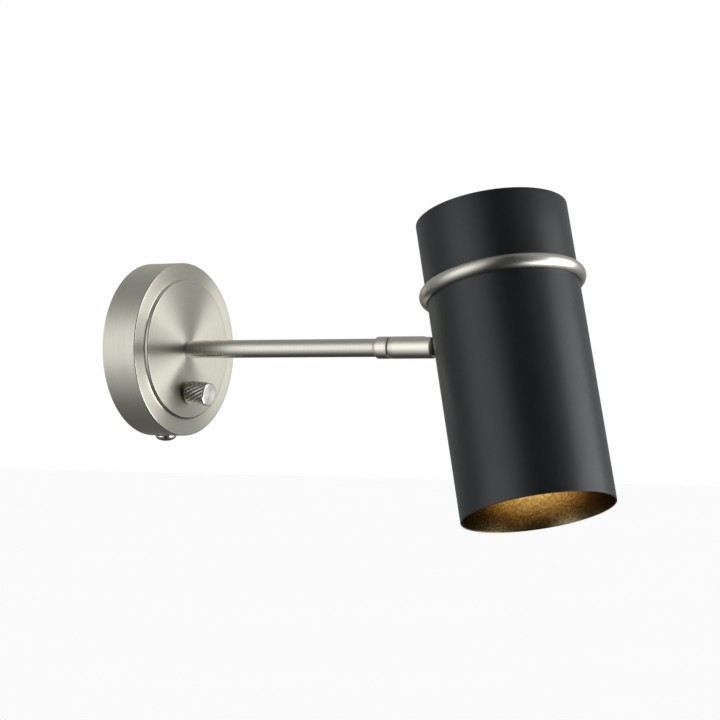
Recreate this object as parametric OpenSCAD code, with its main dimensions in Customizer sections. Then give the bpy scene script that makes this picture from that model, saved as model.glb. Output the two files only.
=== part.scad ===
// Wall sconce with a dimmer, a turning arm joint and a tilting cylinder shade.
// The origin is the centre of the wall plate's back, on the wall. +Y goes into the wall, +Z is up.

/* [Wall plate] */
// Diameter of the round wall plate
plate_d = 120; // [114:1:150]
// How far the plate's rim stands out from the wall
plate_depth = 26.7; // [26:0.1:40]
// Thickness of the plate's metal
plate_t = 1.2; // [0.8:0.1:1.6]
// Rounding of the plate's front corner
plate_corner = 0.8; // [0.6:0.1:2.5]
// Diameter of the raised disc
disc_d = 96; // [88:1:100]
// Height of the step up to the raised disc
disc_rise = 2.5; // [2:0.1:4]
// Extra height of the disc's centre, over its edge
disc_dome = 0.8; // [0.3:0.1:2]
// Width of the sloping step round the disc
step_w = 0.9; // [0.4:0.1:2]

/* [Mounting bracket] */
// Width of the bracket's bar
bracket_w = 24; // [22:1:30]
// Thickness of the bracket's steel
bracket_t = 2; // [1.5:0.1:2.5]
// Width of the bracket's bent ears
ear_w = 16; // [12:1:20]
// Distance between the centres of the two wall screw slots
slot_spacing = 74.5; // [72:0.5:76]
// Length of each wall screw slot, end to end
slot_l = 22; // [12:1:22]
// Width of each wall screw slot
slot_w = 5; // [4:0.1:6]
// Diameter of the hole for the supply wires
wire_hole_d = 14; // [10:1:16]
// Distance of the side screw from the wall
side_screw_z = 10.2; // [9:0.1:18]
// Thread diameter of the side screw
side_screw_d = 4; // [3:0.5:5]
// Diameter of the side screw's domed head
side_head_d = 14.7; // [10:0.1:17]
// Height of the side screw's domed head
side_head_h = 3.8; // [3:0.1:5]

/* [Arm] */
// Outer diameter of the rod
arm_d = 12.2; // [11.5:0.1:13]
// Wall thickness of the rod
arm_t = 1; // [0.8:0.1:1.4]
// Distance from the wall to the centre of the ball joint
pivot_reach = 221.1; // [150:0.1:360]
// Outer diameter of the collar and of the turning barrel
joint_d = 14.8; // [14.6:0.1:18]
// Length of the fixed collar
collar_l = 11.1; // [8:0.1:20]
// Length of the turning barrel
barrel_l = 34.1; // [32:0.1:45]

/* [Ball joint] */
// Diameter of the ball
ball_d = 11.2; // [10.6:0.1:11.4]
// Diameter of the ball's neck
neck_d = 7; // [6.4:0.1:7.4]
// Free distance from the ball's centre to the shade's wall
neck_reach = 8.9; // [8.8:0.1:14]
// Running gap between the ball and its seat
ball_fit = 0.05; // [0.02:0.01:0.1]
// Turning angle of the barrel in the photographed pose
swivel_angle = 10.3; // [-170:0.1:170]
// Tilt of the shade in the photographed pose
tilt_angle = 15; // [0:0.1:78]

/* [Shade] */
// Outer diameter of the shade
shade_d = 99.3; // [94:0.1:130]
// Thickness of the shade's wall
shade_t = 1; // [0.8:0.1:1.5]
// Length of the shade above its stem
shade_above = 74.2; // [72:0.1:110]
// Length of the shade below its stem
shade_below = 125.6; // [100:0.1:180]
// Distance of the ring's middle below the shade's top
ring_drop = 49.4; // [46:0.1:52]
// How far the half round ring stands out from the shade
ring_r = 4.8; // [3:0.1:4.9]
// Depth of the top cap below the shade's upper edge
cap_recess = 2.5; // [1.5:0.1:6]
// Number of heat vents in the top cap
vents = 12; // [6:1:16]
// Diameter of each heat vent
vent_d = 5; // [4:0.1:7]

/* [Lampholder and bulb] */
// Height of the lampholder's shelf above the stem
shelf_z = 40; // [36:1:48]
// Diameter of the lampholder
holder_d = 40; // [38:1:44]
// Diameter of the bulb's screw cap
bulb_cap_d = 26; // [25.8:0.1:26.4]
// Diameter of the bulb's globe
bulb_d = 60; // [50:1:64]
// Length of the bulb's glass below the lampholder
bulb_l = 80; // [70:1:88]

/* [Dimmer knob] */
// Diameter of the knob
knob_d = 16.3; // [16:0.1:20]
// Length of the knob
knob_l = 16.8; // [13:0.1:20]
// Distance of the knob below the plate's centre
knob_drop = 29.6; // [29:0.1:33]
// Sideways offset of the knob
knob_side = -1; // [-3:0.5:3]
// Droop of the knob's axis below level
knob_droop = 6; // [0:0.5:7]
// Free gap between the knob and its seat
knob_gap = 1.4; // [1.3:0.1:2.2]
// Width and height of the dimmer's housing
dimmer_w = 22; // [20:1:23]
// Depth of the dimmer's housing
dimmer_depth = 13; // [11:0.5:14]

/* [Hidden] */
$fn = 48;

nickel = [0.72, 0.70, 0.66];
zinc = [0.66, 0.67, 0.68];
brass = [0.78, 0.62, 0.30];
black = [0.06, 0.06, 0.065];
ceramic = [0.90, 0.88, 0.84];
bakelite = [0.10, 0.09, 0.085];

// How far a cutting shape runs past the face that it opens
cut = 1;
// Radial play of a bolt or tube in a plain hole
hole_play = 0.1;
// Gap left where two pieces nearly touch
near_gap = 0.3;

// Wall plate
plate_r = plate_d / 2;
disc_r = disc_d / 2;
dome_r = (disc_r * disc_r + disc_dome * disc_dome) / (2 * disc_dome);
step_foot_r = 0.5;
step_edge_r = 0.8;
plate_inner_r = plate_r - plate_t;
face_z = disc_height(0);
nut_seat_z = face_z - plate_t;

// Mounting bracket
ear_reach = sqrt(pow(plate_inner_r, 2) - pow(ear_w / 2, 2)) - near_gap;
hook_room = 5.5;
upper_reach = ear_reach - hook_room;
lower_ear_h = side_screw_z + 6;
hook_z = 9;
hook_t = 1.5;
hook_w = 8;
upper_ear_h = hook_z + hook_t + 4;
ear_nut_h = 3.2;
ear_nut_flats = side_screw_d * 1.75;
screw_tail = 1.5;
screw_hole_play = 0.4;
// Welded leaf of the hook, and how far its tongue reaches past the ear
hook_leaf_t = 1.9;
hook_leaf_h = 14;
hook_grip = 3;

// Terminal block on the bracket's wing
block_w = 20;
block_l = 22;
block_h = 8;
block_x = bracket_w / 2 + 8 + block_w / 2;
wing_margin = 2;
wing_end = block_x + block_w / 2 + 2 * wing_margin;
pole_pitch = 11;
pole_r = 4.6;
pole_z = bracket_t + block_h;
terminal_bore_r = 1.5;
terminal_r = 2.4;
terminal_inset = 1;
clamp_x = 5;
clamp_screw_r = 1.3;
clamp_head_r = 1.8;
clamp_head_z = 2.5;
clamp_top = 4.6;
clamp_slot_w = 0.6;
clamp_slot_depth = 0.8;
chimney_r = 2.9;
chimney_bore_r = 1.9;
chimney_h = 7;
block_screw_r = 1.5;
block_head_r = 2.5;
block_head_h = 2;

// Earth screw
earth_y = 17;
earth_r = 2;
earth_head_r = 3.8;
earth_head_h = 2.4;
earth_slot_w = 1;
earth_slot_depth = 1;
earth_washer_r = 4.4;
earth_washer_t = 1;
tag_t = 0.8;
tag_rim = 2;
tongue_w = 2.8;
tongue_l = 5;
crimp_r = 1.5;
crimp_l = 5;
crimp_wall = 0.8;
crimp_lap = 0.1;
// Distance from a tag's bore to the end of the lead in its crimp
crimp_start = tongue_l - crimp_lap + crimp_wall + near_gap;

// Fixing of the rod
nipple_r = arm_d / 2 - arm_t;
nipple_bore_r = 3.5;
backing_r = 16;
backing_t = 2;
lock_r = 8.5;
lock_t = 0.9;
nipple_nut_flats = 14;
arm_nut_h = 4.5;
arm_nut_z = nut_seat_z - backing_t - lock_t - arm_nut_h;
nipple_tail = 3;
nipple_back_z = arm_nut_z - nipple_tail;
nipple_front_z = face_z + 12;

// Arm joint, along the rod from the wall
joint_r = joint_d / 2;
nose = 5.8;
nose_round = 3.6;
barrel_end = pivot_reach + nose;
barrel_start = barrel_end - barrel_l;
swivel_gap = 0.5;
collar_end = barrel_start - swivel_gap;
collar_start = collar_end - collar_l;
collar_bevel = joint_r - arm_d / 2 - 0.02;
collar_bevel_l = 1.15 * collar_bevel;
collar_web = 2.5;
arm_end = collar_end - collar_web;
edge_bevel = 0.4;
washer_inset = 0.6;
bolt_r = 4;
bolt_grip = 4;
turn_play = 0.08;
lead_bore_r = 2.4;
barrel_web = 2.6;
disc_spring_t = 0.9;
bolt_head_h = 2.5;
bolt_head_z = barrel_start + barrel_web + disc_spring_t;
bolt_head_top = bolt_head_z + bolt_head_h;
ball_r = ball_d / 2;
seat_r = ball_r + ball_fit;
bolt_head_r = seat_r - 0.35;
mouth_r = seat_r - 0.75;
slot_half = neck_d / 2 + 0.4;
slot_shift = -0.3;
pin_r = 0.6;
pin_circle = 5.95;
pin_play = 0.1;
pin_end_play = 0.2;
groove_depth = 1.2;
// Angle each way between the pin and the end of its groove, short of half a turn
stop_angle = 10;
stop_land_w = 2 * (pin_circle * sin(stop_angle) - pin_r - pin_play);
cup_l = 6;
cup_front = pivot_reach - 3.2;
cup_back = cup_front - cup_l;
cup_play = 0.1;
spring_wire_r = 0.7;
spring_turns = 6;
spring_r = seat_r - spring_wire_r - 0.5;

// Shade, drawn about its own axis with the stem along +Y
shade_r = shade_d / 2;
shade_inner_r = shade_r - shade_t;
stem_len = shade_r + neck_reach;
neck_r = neck_d / 2;
flange_r = 5.5;
flange_t = 0.6;
thread_r = 4;
saddle_r = 8;
saddle_face = sqrt(pow(shade_inner_r, 2) - pow(saddle_r, 2)) - 1.2;
strap_t = 2;
strap_w = 18;
stem_nut_h = 4;
stem_nut_flats = 12;
stem_nut_z = saddle_face - strap_t - stem_nut_h;
stem_tail = 2;
stem_end = stem_nut_z - stem_tail;
ring_z = shade_above - ring_drop;
cap_z = shade_above - cap_recess;
cap_t = 1;
cap_fit = 0.05;
cap_r = shade_inner_r - cap_fit;
cap_flange = 6;
vent_circle = 30;

// Lampholder and bulb, measured down from the shelf
shelf_bottom = shelf_z - strap_t;
holder_r = holder_d / 2;
holder_nipple_r = 5;
holder_nipple_in = 8;
holder_nut_z = shelf_z + tag_t;
holder_nut_h = 3.5;
holder_nipple_top = holder_nut_z + holder_nut_h + 2;
holder_cap_h = 18;
holder_cap_round = 9;
holder_cap_z = shelf_bottom - holder_cap_h;
// Extra thickness of the lampholder cap's crown
crown_extra = 1;
holder_body_h = 34;
holder_t = 2;
rib_depth = 0.6;
rib_start = 4;
rib_pitch = 5;
rib_h = 2;
rim_z = holder_cap_z - holder_body_h;
insert_z = holder_cap_z - 6;
insert_r = holder_r - holder_t - 2;
insert_h = 10;
insert_neck_r = 10;
// Thickness of the insert's disc, and how deep the recess for the centre contact is
insert_t = 4;
insert_recess = 2;
holder_lead_x = 6;
bulb_cap_r = bulb_cap_d / 2;
bulb_cap_t = 0.6;
shell_fit = 0.2;
shell_t = 0.5;
shell_room = 0.8;
shell_start = rim_z + 4;
shell_end = insert_z - insert_t;
shell_hole_r = bulb_cap_r - 3;
contact_t = 0.6;
contact_l = 8;
contact_w = 4;
contact_r = 2.4;
contact_z = insert_z - 1.6;
contact_tip_z = contact_z - 2;
bulb_cap_top = contact_z - 2.2;
cone_h = 4;
cone_r = 7;
thread_turns = 4;
thread_pitch = 3.2;
thread_h = 1.2;
thread_play = 0.05;
insulator_r = 4.6;
foot_r = 3;
bulb_r = bulb_d / 2;
glass_t = 1;
glass_z = rim_z + 2;
glass_in = 5;
feed_y = 33;
feed_r = 3.4;

// Dimmer and knob
knob_r = knob_d / 2;
knob_seat_z = disc_height(norm([knob_side, knob_drop]));
seat_disc_r = 7;
seat_cut = 2;
bush_r = 3.5;
bush_top = 4.2;
bush_in = 5;
shaft_r = 3;
shaft_fit = 0.05;
shaft_top = knob_gap + knob_l - 4;
dimmer_nut_h = 2;
dimmer_nut_flats = 10;
dimmer_washer_r = 5.6;
dimmer_washer_t = 0.5;
dimmer_top = -plate_t;
bush_end = dimmer_top - bush_in;
// Height of the round boss that keeps the tilted housing clear of the plate's back
boss_h = dimmer_w / 2 * tan(knob_droop) + near_gap;
boss_r = seat_disc_r - 0.5;
housing_top = dimmer_top - boss_h;
dimmer_bottom = housing_top - dimmer_depth;
wiper_r = 5;
wiper_t = 2;
shaft_tail = 1.5;
shaft_flat = 0.7;
cover_t = 1.2;
tab_x = 5.5;
tab_w = 3;
tab_t = 2;
tab_h = 3;
tab_in = 1.5;
tab_window = [4, 6];
knob_bevel = 0.7;
knob_edge = 0.3;
recess_r = 6.4;
recess_top = bush_top + 0.5;
grub_r = 1.5;
grub_z = knob_gap + 8;
grub_inset = 0.8;
grub_socket_flats = 1.5;
grub_socket_depth = 1.6;

// Leads
lead_r = 0.9;
lead_bend = 6;
// How far a lead reaches into a clamp, and how far it runs on before it turns
lead_grip = 6;
brown = [0.35, 0.18, 0.10];
blue = [0.12, 0.25, 0.60];
green = [0.30, 0.55, 0.15];
// How far the shade's live and neutral leads part after the stem, to let the earth lead pass
lead_spread = 2.2;
lead_a = [0, 1.15];
lead_b = [-1, -0.6];
lead_c = [1, -0.6];

// Height of the raised disc over the wall, at a distance from its centre
function disc_height(r) =
    plate_depth + disc_rise + disc_dome - (dome_r - sqrt(dome_r * dome_r - r * r));

// Points of an arc, from one angle to another
function arc(x, y, r, from, to, steps = 6) =
    [for (i = [0 : steps]) let (a = from + (to - from) * i / steps) [x + r * cos(a), y + r * sin(a)]];

// Half section of the wall plate, drawn in from its outside by the metal's thickness
function plate_outline(inset, back) = let (
        corner = max(plate_corner - inset, 0.2),
        step = disc_r - inset,
        low = plate_depth - inset,
        high = low + disc_rise
    ) concat(
        [[0, back], [plate_r - inset, back]],
        arc(plate_r - inset - corner, low - corner, corner, 0, 90),
        arc(step + step_w + step_foot_r, low + step_foot_r, step_foot_r, 270, 190, 4),
        arc(step - step_edge_r, high - step_edge_r, step_edge_r, 10, 84, 5),
        [for (i = [7 : -1 : 0]) let (r = (step - step_edge_r) * i / 8) [r, disc_height(r) - inset]]
    );

// Turns a piece drawn along Z so that Z leads out of the wall and Y points up
module out_of_wall() rotate([90, 0, 0]) children();

// Places a piece on the dimmer's axis, with its origin on the plate's face
module at_knob() translate([knob_side, -knob_drop, knob_seat_z]) rotate([knob_droop, 0, 0]) children();

// Gives a point on the dimmer in the wall plate's own directions
function knob_point(p) = [knob_side + p[0],
    -knob_drop + p[1] * cos(knob_droop) - p[2] * sin(knob_droop),
    knob_seat_z + p[1] * sin(knob_droop) + p[2] * cos(knob_droop)];

// Turns a piece with the barrel
module swivelled() rotate([0, swivel_angle, 0]) out_of_wall() children();

// Places a piece drawn about the shade's axis
module in_shade() translate([0, -pivot_reach, 0]) rotate([0, swivel_angle, 0])
    rotate([-tilt_angle, 0, 0]) translate([0, -stem_len, 0]) children();

// Turns a piece drawn along Z so that Z follows the shade's stem
module along_stem() rotate([-90, 0, 0]) children();

// Round bar or hole between two heights
module rod(r, from, to) translate([0, 0, from]) cylinder(r = r, h = to - from);

// Hexagon with a given distance across its flats
module hexagon(flats, from, to) translate([0, 0, from])
    cylinder(r = flats / sqrt(3), h = to - from, $fn = 6);

// Hole with round ends along Y
module slot(length, width, height) union() {
    for (end = [-1, 1]) translate([0, end * (length - width) / 2, 0]) cylinder(r = width / 2, h = height);
    translate([-width / 2, -(length - width) / 2, 0]) cube([width, length - width, height]);
}

// Rounds the corners of a route, with short curves in place of its bends
function rounded(p, bend, steps = 4) = concat([p[0]], [for (i = [1 : len(p) - 2])
        let (back = p[i - 1] - p[i], on = p[i + 1] - p[i],
            reach = min(bend, 0.48 * norm(back), 0.48 * norm(on)),
            a = p[i] + back / norm(back) * reach, b = p[i] + on / norm(on) * reach)
        for (s = [0 : steps]) let (t = s / steps) (1 - t) * (1 - t) * a + 2 * t * (1 - t) * p[i] + t * t * b
    ], [p[len(p) - 1]]);

function unit(v) = v / norm(v);
function square_to(v, t) = unit(v - (v * t) * t);
function tangents(p) = [for (i = [0 : len(p) - 1])
    unit(p[min(i + 1, len(p) - 1)] - p[max(i - 1, 0)])];
function carried(t, i, n) = i == 0 ? [square_to(n, t[0])] :
    let (before = carried(t, i - 1, n)) concat(before, [square_to(before[i - 1], t[i])]);

// Round tube swept along a route, closed at both ends
module sweep(p, r, sides = 8, side_hint = [0.31, 0.83, 0.47]) {
    t = tangents(p);
    n = carried(t, len(p) - 1, side_hint);
    last = len(p) - 1;
    points = [for (i = [0 : last]) for (k = [0 : sides - 1])
        p[i] + r * (cos(360 * k / sides) * n[i] + sin(360 * k / sides) * cross(t[i], n[i]))];
    skin = [for (i = [0 : last - 1]) for (k = [0 : sides - 1]) let (m = (k + 1) % sides)
        for (f = [[i * sides + k, (i + 1) * sides + k, (i + 1) * sides + m],
            [i * sides + k, (i + 1) * sides + m, i * sides + m]]) f];
    ends = concat([for (k = [1 : sides - 2]) [0, k, k + 1]],
        [for (k = [1 : sides - 2]) [last * sides, last * sides + k + 1, last * sides + k]]);
    polyhedron(points = points, faces = concat(skin, ends));
}

// Insulated lead along a route with rounded bends
module lead(route) sweep(rounded(route, lead_bend), lead_r);

// Steel crossbar on the wall, with slots for wall screws, two bent ears and a wing for the terminals
module mounting_bracket() color(zinc) out_of_wall() difference() {
    union() {
        intersection() {
            translate([-bracket_w / 2, -ear_reach, 0])
                cube([bracket_w, ear_reach + upper_reach, bracket_t]);
            rod(plate_inner_r - near_gap, -cut, bracket_t + cut);
        }
        translate([-ear_w / 2, -ear_reach, 0]) cube([ear_w, bracket_t, lower_ear_h]);
        translate([-ear_w / 2, upper_reach - bracket_t, 0]) cube([ear_w, bracket_t, upper_ear_h]);
        translate([0, -block_l / 2 - wing_margin, 0])
            cube([wing_end, block_l + 2 * wing_margin, bracket_t]);
    }
    for (side = [-1, 1]) translate([0, side * slot_spacing / 2, -cut])
        slot(slot_l, slot_w, bracket_t + 2 * cut);
    rod(wire_hole_d / 2, -cut, bracket_t + cut);
    translate([0, earth_y, 0]) rod(earth_r, -cut, bracket_t + cut);
    translate([block_x, 0, 0]) rod(block_screw_r, -cut, bracket_t + cut);
    translate([0, -ear_reach - cut, side_screw_z]) rotate([-90, 0, 0])
        cylinder(r = side_screw_d / 2, h = bracket_t + 2 * cut);
    translate([-hook_w / 2 - near_gap, upper_reach - bracket_t - cut, hook_z - near_gap])
        cube([hook_w + 2 * near_gap, bracket_t + 2 * cut, hook_t + 2 * near_gap]);
}

// Nut welded inside the lower ear, for the side screw
module ear_nut() color(zinc) out_of_wall() translate([0, -ear_reach + bracket_t, side_screw_z])
    rotate([-90, 0, 0]) difference() {
        hexagon(ear_nut_flats, 0, ear_nut_h);
        rod(side_screw_d / 2, -cut, ear_nut_h + cut);
    }

// Bent tab welded inside the plate's top, which drops into the upper ear's slot
module hook_tab() color(zinc) out_of_wall() {
    intersection() {
        translate([-hook_w / 2, plate_inner_r - 2 * hook_leaf_t, hook_z])
            cube([hook_w, 3 * hook_leaf_t, hook_leaf_h]);
        difference() {
            rod(plate_inner_r, hook_z - cut, hook_z + hook_leaf_h + cut, $fn = 240);
            translate([-hook_w, 0, hook_z - 2 * cut])
                cube([2 * hook_w, plate_inner_r - hook_leaf_t, hook_leaf_h + 4 * cut]);
        }
    }
    translate([-hook_w / 2, upper_reach - bracket_t - hook_grip, hook_z])
        cube([hook_w, plate_inner_r - hook_t - upper_reach + bracket_t + hook_grip, hook_t]);
}

// Pressed round wall plate with its raised disc, open at the wall
module wall_plate() color(nickel) out_of_wall() difference() {
    union() {
        difference() {
            rotate_extrude() polygon(plate_outline(0, 0));
            rotate_extrude() polygon(plate_outline(plate_t, -cut));
        }
        at_knob() rod(seat_disc_r, -plate_t, 0);
    }
    at_knob() rod(seat_disc_r, 0, seat_cut);
    at_knob() rod(seat_disc_r, -plate_t - seat_cut, -plate_t);
    at_knob() rod(bush_r + hole_play, -plate_t - cut, cut);
    rod(nipple_r + hole_play, nut_seat_z - cut, face_z + cut);
    translate([0, -plate_r - cut, side_screw_z]) rotate([-90, 0, 0])
        cylinder(r = side_screw_d / 2 + screw_hole_play, h = plate_t + 2 * cut);
}

// Domed screw at six o'clock that pulls the plate onto the bracket's ear
module side_screw() color(nickel) out_of_wall() translate([0, -plate_r, side_screw_z]) rotate([90, 0, 0]) {
    head_ball = (pow(side_head_d / 2, 2) + pow(side_head_h, 2)) / (2 * side_head_h);
    intersection() {
        translate([0, 0, side_head_h - head_ball]) sphere(r = head_ball);
        rod(side_head_d / 2 + cut, 0, side_head_h + cut);
    }
    rod(side_screw_d / 2, -(plate_r - ear_reach + bracket_t + ear_nut_h + screw_tail), 0);
}

// Pan head screw that clamps the earth tag to the bracket
module earth_screw() color(brass) out_of_wall() translate([0, earth_y, 0]) difference() {
    head_z = bracket_t + tag_t + earth_washer_t;
    union() {
        rod(earth_r, 0, head_z + cut);
        rod(earth_head_r, head_z, head_z + earth_head_h);
    }
    translate([-earth_slot_w / 2, -earth_head_r - cut, head_z + earth_head_h - earth_slot_depth])
        cube([earth_slot_w, 2 * (earth_head_r + cut), earth_slot_depth + cut]);
}

// Plain washer under the earth screw's head
module earth_washer() color(zinc) out_of_wall() translate([0, earth_y, bracket_t + tag_t]) difference() {
    rod(earth_washer_r, 0, earth_washer_t);
    rod(earth_r, -cut, earth_washer_t + cut);
}

// Ring tag crimped to the arm's earth lead, under the earth washer
module earth_tag() color(zinc) out_of_wall() translate([0, earth_y, bracket_t]) ring_tag(earth_r);

// Ring with a tongue and a crimped barrel that points down Y
module ring_tag(bore) {
    difference() {
        union() {
            rod(bore + tag_rim, 0, tag_t);
            translate([-tongue_w / 2, -bore - tongue_l, 0]) cube([tongue_w, tongue_l, tag_t]);
        }
        rod(bore, -cut, tag_t + cut);
    }
    translate([0, -bore - tongue_l + crimp_lap, crimp_r]) rotate([90, 0, 0]) difference() {
        cylinder(r = crimp_r, h = crimp_l);
        translate([0, 0, crimp_wall]) cylinder(r = lead_r, h = crimp_l);
    }
}

// Two-pole terminal block of white plastic, screwed to the bracket's wing
module terminal_block() color(ceramic) out_of_wall() translate([block_x, 0, 0]) difference() {
    union() {
        translate([-block_w / 2, -block_l / 2, bracket_t]) cube([block_w, block_l, block_h]);
        for (pole = [-1, 1]) translate([-block_w / 2, pole * pole_pitch / 2, pole_z])
            rotate([0, 90, 0]) cylinder(r = pole_r, h = block_w);
        for (pole = [-1, 1]) for (end = [-1, 1])
            translate([end * clamp_x, pole * pole_pitch / 2, 0]) rod(chimney_r, pole_z, pole_z + chimney_h);
    }
    for (pole = [-1, 1]) translate([-block_w / 2 - cut, pole * pole_pitch / 2, pole_z])
        rotate([0, 90, 0]) cylinder(r = terminal_r, h = block_w + 2 * cut);
    for (pole = [-1, 1]) for (end = [-1, 1]) translate([end * clamp_x, pole * pole_pitch / 2, 0])
        rod(chimney_bore_r, pole_z, pole_z + chimney_h + cut);
    rod(block_screw_r + hole_play, bracket_t - cut, pole_z + cut);
    rod(block_head_r + hole_play, pole_z, pole_z + pole_r + cut);
}

// Brass barrels inside the terminal block
module terminal_barrels() color(brass) out_of_wall() for (pole = [-1, 1])
    translate([block_x, pole * pole_pitch / 2, pole_z]) difference() {
        translate([-block_w / 2 + terminal_inset, 0, 0]) rotate([0, 90, 0])
            cylinder(r = terminal_r, h = block_w - 2 * terminal_inset);
        translate([-block_w / 2 - cut, 0, 0]) rotate([0, 90, 0])
            cylinder(r = terminal_bore_r, h = block_w + 2 * cut);
        for (end = [-1, 1]) translate([end * clamp_x, 0, 0]) rod(clamp_screw_r, 0, terminal_r + cut);
    }

// Clamping screws in the terminal block, two to each pole
module terminal_screws() color(zinc) out_of_wall() for (pole = [-1, 1]) for (end = [-1, 1])
    translate([block_x + end * clamp_x, pole * pole_pitch / 2, pole_z]) difference() {
        union() {
            rod(clamp_screw_r, lead_r, clamp_head_z + cut);
            rod(clamp_head_r, clamp_head_z, clamp_top);
        }
        translate([-clamp_slot_w / 2, -clamp_head_r - cut, clamp_top - clamp_slot_depth])
            cube([clamp_slot_w, 2 * (clamp_head_r + cut), clamp_slot_depth + cut]);
    }

// Screw through the terminal block into the bracket's wing
module block_screw() color(zinc) out_of_wall() translate([block_x, 0, 0]) {
    rod(block_screw_r, 0, pole_z + cut);
    rod(block_head_r, pole_z, pole_z + block_head_h);
}

// Large steel washer that spreads the rod's load inside the plate
module backing_washer() color(zinc) out_of_wall() difference() {
    rod(backing_r, nut_seat_z - backing_t, disc_height(backing_r) - plate_t);
    rod(nipple_r + hole_play, nut_seat_z - backing_t - cut, nut_seat_z + cut);
}

// Lock washer between the backing washer and the rod's nut
module lock_washer() color(zinc) out_of_wall() difference() {
    rod(lock_r, arm_nut_z + arm_nut_h, nut_seat_z - backing_t);
    rod(nipple_r + hole_play, arm_nut_z + arm_nut_h - cut, nut_seat_z);
}

// Nut that clamps the rod to the wall plate
module arm_nut() color(brass) out_of_wall() difference() {
    hexagon(nipple_nut_flats, arm_nut_z, arm_nut_z + arm_nut_h);
    rod(nipple_r, nipple_back_z, nut_seat_z);
}

// Hollow threaded nipple in the rod's inner end
module arm_nipple() color(brass) out_of_wall() difference() {
    rod(nipple_r, nipple_back_z, nipple_front_z);
    rod(nipple_bore_r, nipple_back_z - cut, nipple_front_z + cut);
}

// Straight tube of the arm
module arm_tube() color(nickel) out_of_wall() difference() {
    rod(arm_d / 2, face_z, arm_end);
    rod(nipple_r, face_z - cut, arm_end + cut);
}

// Fixed collar on the rod's outer end, bevelled where it meets the rod
module joint_collar() color(nickel) out_of_wall() difference() {
    rotate_extrude() polygon([[0, collar_start], [joint_r - collar_bevel, collar_start],
        [joint_r, collar_start + collar_bevel_l], [joint_r, collar_end - edge_bevel],
        [joint_r - edge_bevel, collar_end], [0, collar_end]]);
    rod(arm_d / 2, collar_start - cut, arm_end);
    rod(bolt_r, arm_end - cut, collar_end + cut);
    rotate([0, 0, -90]) translate([pin_circle, 0, 0]) rod(pin_r, arm_end - cut, collar_end + cut);
}

// Hollow shouldered bolt that holds the barrel to the collar and lets it turn
module swivel_bolt() color(brass) out_of_wall() difference() {
    union() {
        rod(bolt_r, arm_end - bolt_grip, bolt_head_z + cut);
        rod(bolt_head_r, bolt_head_z, bolt_head_top);
    }
    rod(lead_bore_r, arm_end - bolt_grip - cut, bolt_head_top + cut);
}

// Thin dark washer in the groove between the collar and the barrel
module swivel_washer() color(black) out_of_wall() difference() {
    rod(joint_r - washer_inset, collar_end, barrel_start);
    rod(bolt_r, collar_end - cut, barrel_start + cut);
    rotate([0, 0, -90]) translate([pin_circle, 0, 0]) rod(pin_r, collar_end - cut, barrel_start + cut);
}

// Pin in the collar that stops the barrel just short of half a turn each way
module stop_pin() color(zinc) out_of_wall() rotate([0, 0, -90]) translate([pin_circle, 0, 0])
    rod(pin_r, arm_end + pin_end_play, barrel_start + groove_depth - pin_end_play);

// Turning barrel with the ball's seat, a round nose and a slot for the neck
module swivel_barrel() color(nickel) swivelled() difference() {
    rotate_extrude() polygon(concat(
        [[0, barrel_start], [joint_r - edge_bevel, barrel_start], [joint_r, barrel_start + edge_bevel]],
        arc(joint_r - nose_round, barrel_end - nose_round, nose_round, 0, 90, 8),
        [[0, barrel_end]]));
    rod(bolt_r + turn_play, barrel_start - cut, barrel_start + barrel_web + cut);
    rod(seat_r, barrel_start + barrel_web, pivot_reach);
    translate([0, 0, pivot_reach]) sphere(r = seat_r);
    rod(mouth_r, pivot_reach, barrel_end + cut);
    translate([0, 0, pivot_reach + slot_shift]) {
        rotate([-90, 0, 0]) cylinder(r = slot_half, h = joint_r + cut);
        translate([-slot_half, 0, 0]) cube([2 * slot_half, joint_r + cut, nose + cut]);
    }
    difference() {
        rod(pin_circle + pin_r + pin_play, barrel_start - cut, barrel_start + groove_depth);
        rod(pin_circle - pin_r - pin_play, barrel_start - 2 * cut, barrel_start + groove_depth + cut);
        translate([-stop_land_w / 2, 0, barrel_start - 2 * cut])
            cube([stop_land_w, joint_r, groove_depth + 3 * cut]);
    }
}

// Spring washer under the bolt's head, which holds the barrel by friction
module spring_washer() color(zinc) swivelled() difference() {
    rod(bolt_head_r, barrel_start + barrel_web, bolt_head_z);
    rod(bolt_r + turn_play, barrel_start + barrel_web - cut, bolt_head_z + cut);
}

// Coil spring that presses the cup onto the ball
module ball_spring() color(zinc) swivelled() {
    low = bolt_head_top + spring_wire_r;
    high = cup_back - spring_wire_r;
    end_pitch = 0.9 * spring_wire_r;
    pitch = (high - low - 2 * end_pitch) / (spring_turns - 2);
    steps = 12 * spring_turns;
    rise = function (turn) turn < 1 ? end_pitch * turn :
        turn > spring_turns - 1 ? high - low - end_pitch * (spring_turns - turn) :
        end_pitch + pitch * (turn - 1);
    route = [for (i = [0 : steps]) let (turn = spring_turns * i / steps)
        [spring_r * cos(360 * turn), spring_r * sin(360 * turn), low + rise(turn)]];
    sweep(route, spring_wire_r, 6, [1, 0, 0]);
}

// Pressure cup behind the ball
module ball_cup() color(brass) swivelled() difference() {
    rod(seat_r - cup_play, cup_back, cup_front);
    translate([0, 0, pivot_reach]) sphere(r = seat_r);
    rod(lead_bore_r, cup_back - cut, cup_front + cut);
}

// Hollow ball stem with its neck, its shoulder and the thread that enters the shade
module ball_stem() color(nickel) in_shade() difference() {
    union() {
        translate([0, stem_len, 0]) sphere(r = ball_r);
        along_stem() rod(neck_r, shade_r, stem_len);
        difference() {
            along_stem() rod(flange_r, shade_r - cut, shade_r + flange_t);
            rod(shade_r, -flange_r - cut, flange_r + cut);
        }
        along_stem() rod(thread_r, stem_end, shade_r + flange_t / 2);
    }
    along_stem() rod(lead_bore_r, stem_end - cut, stem_len + ball_r + cut);
}

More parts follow.
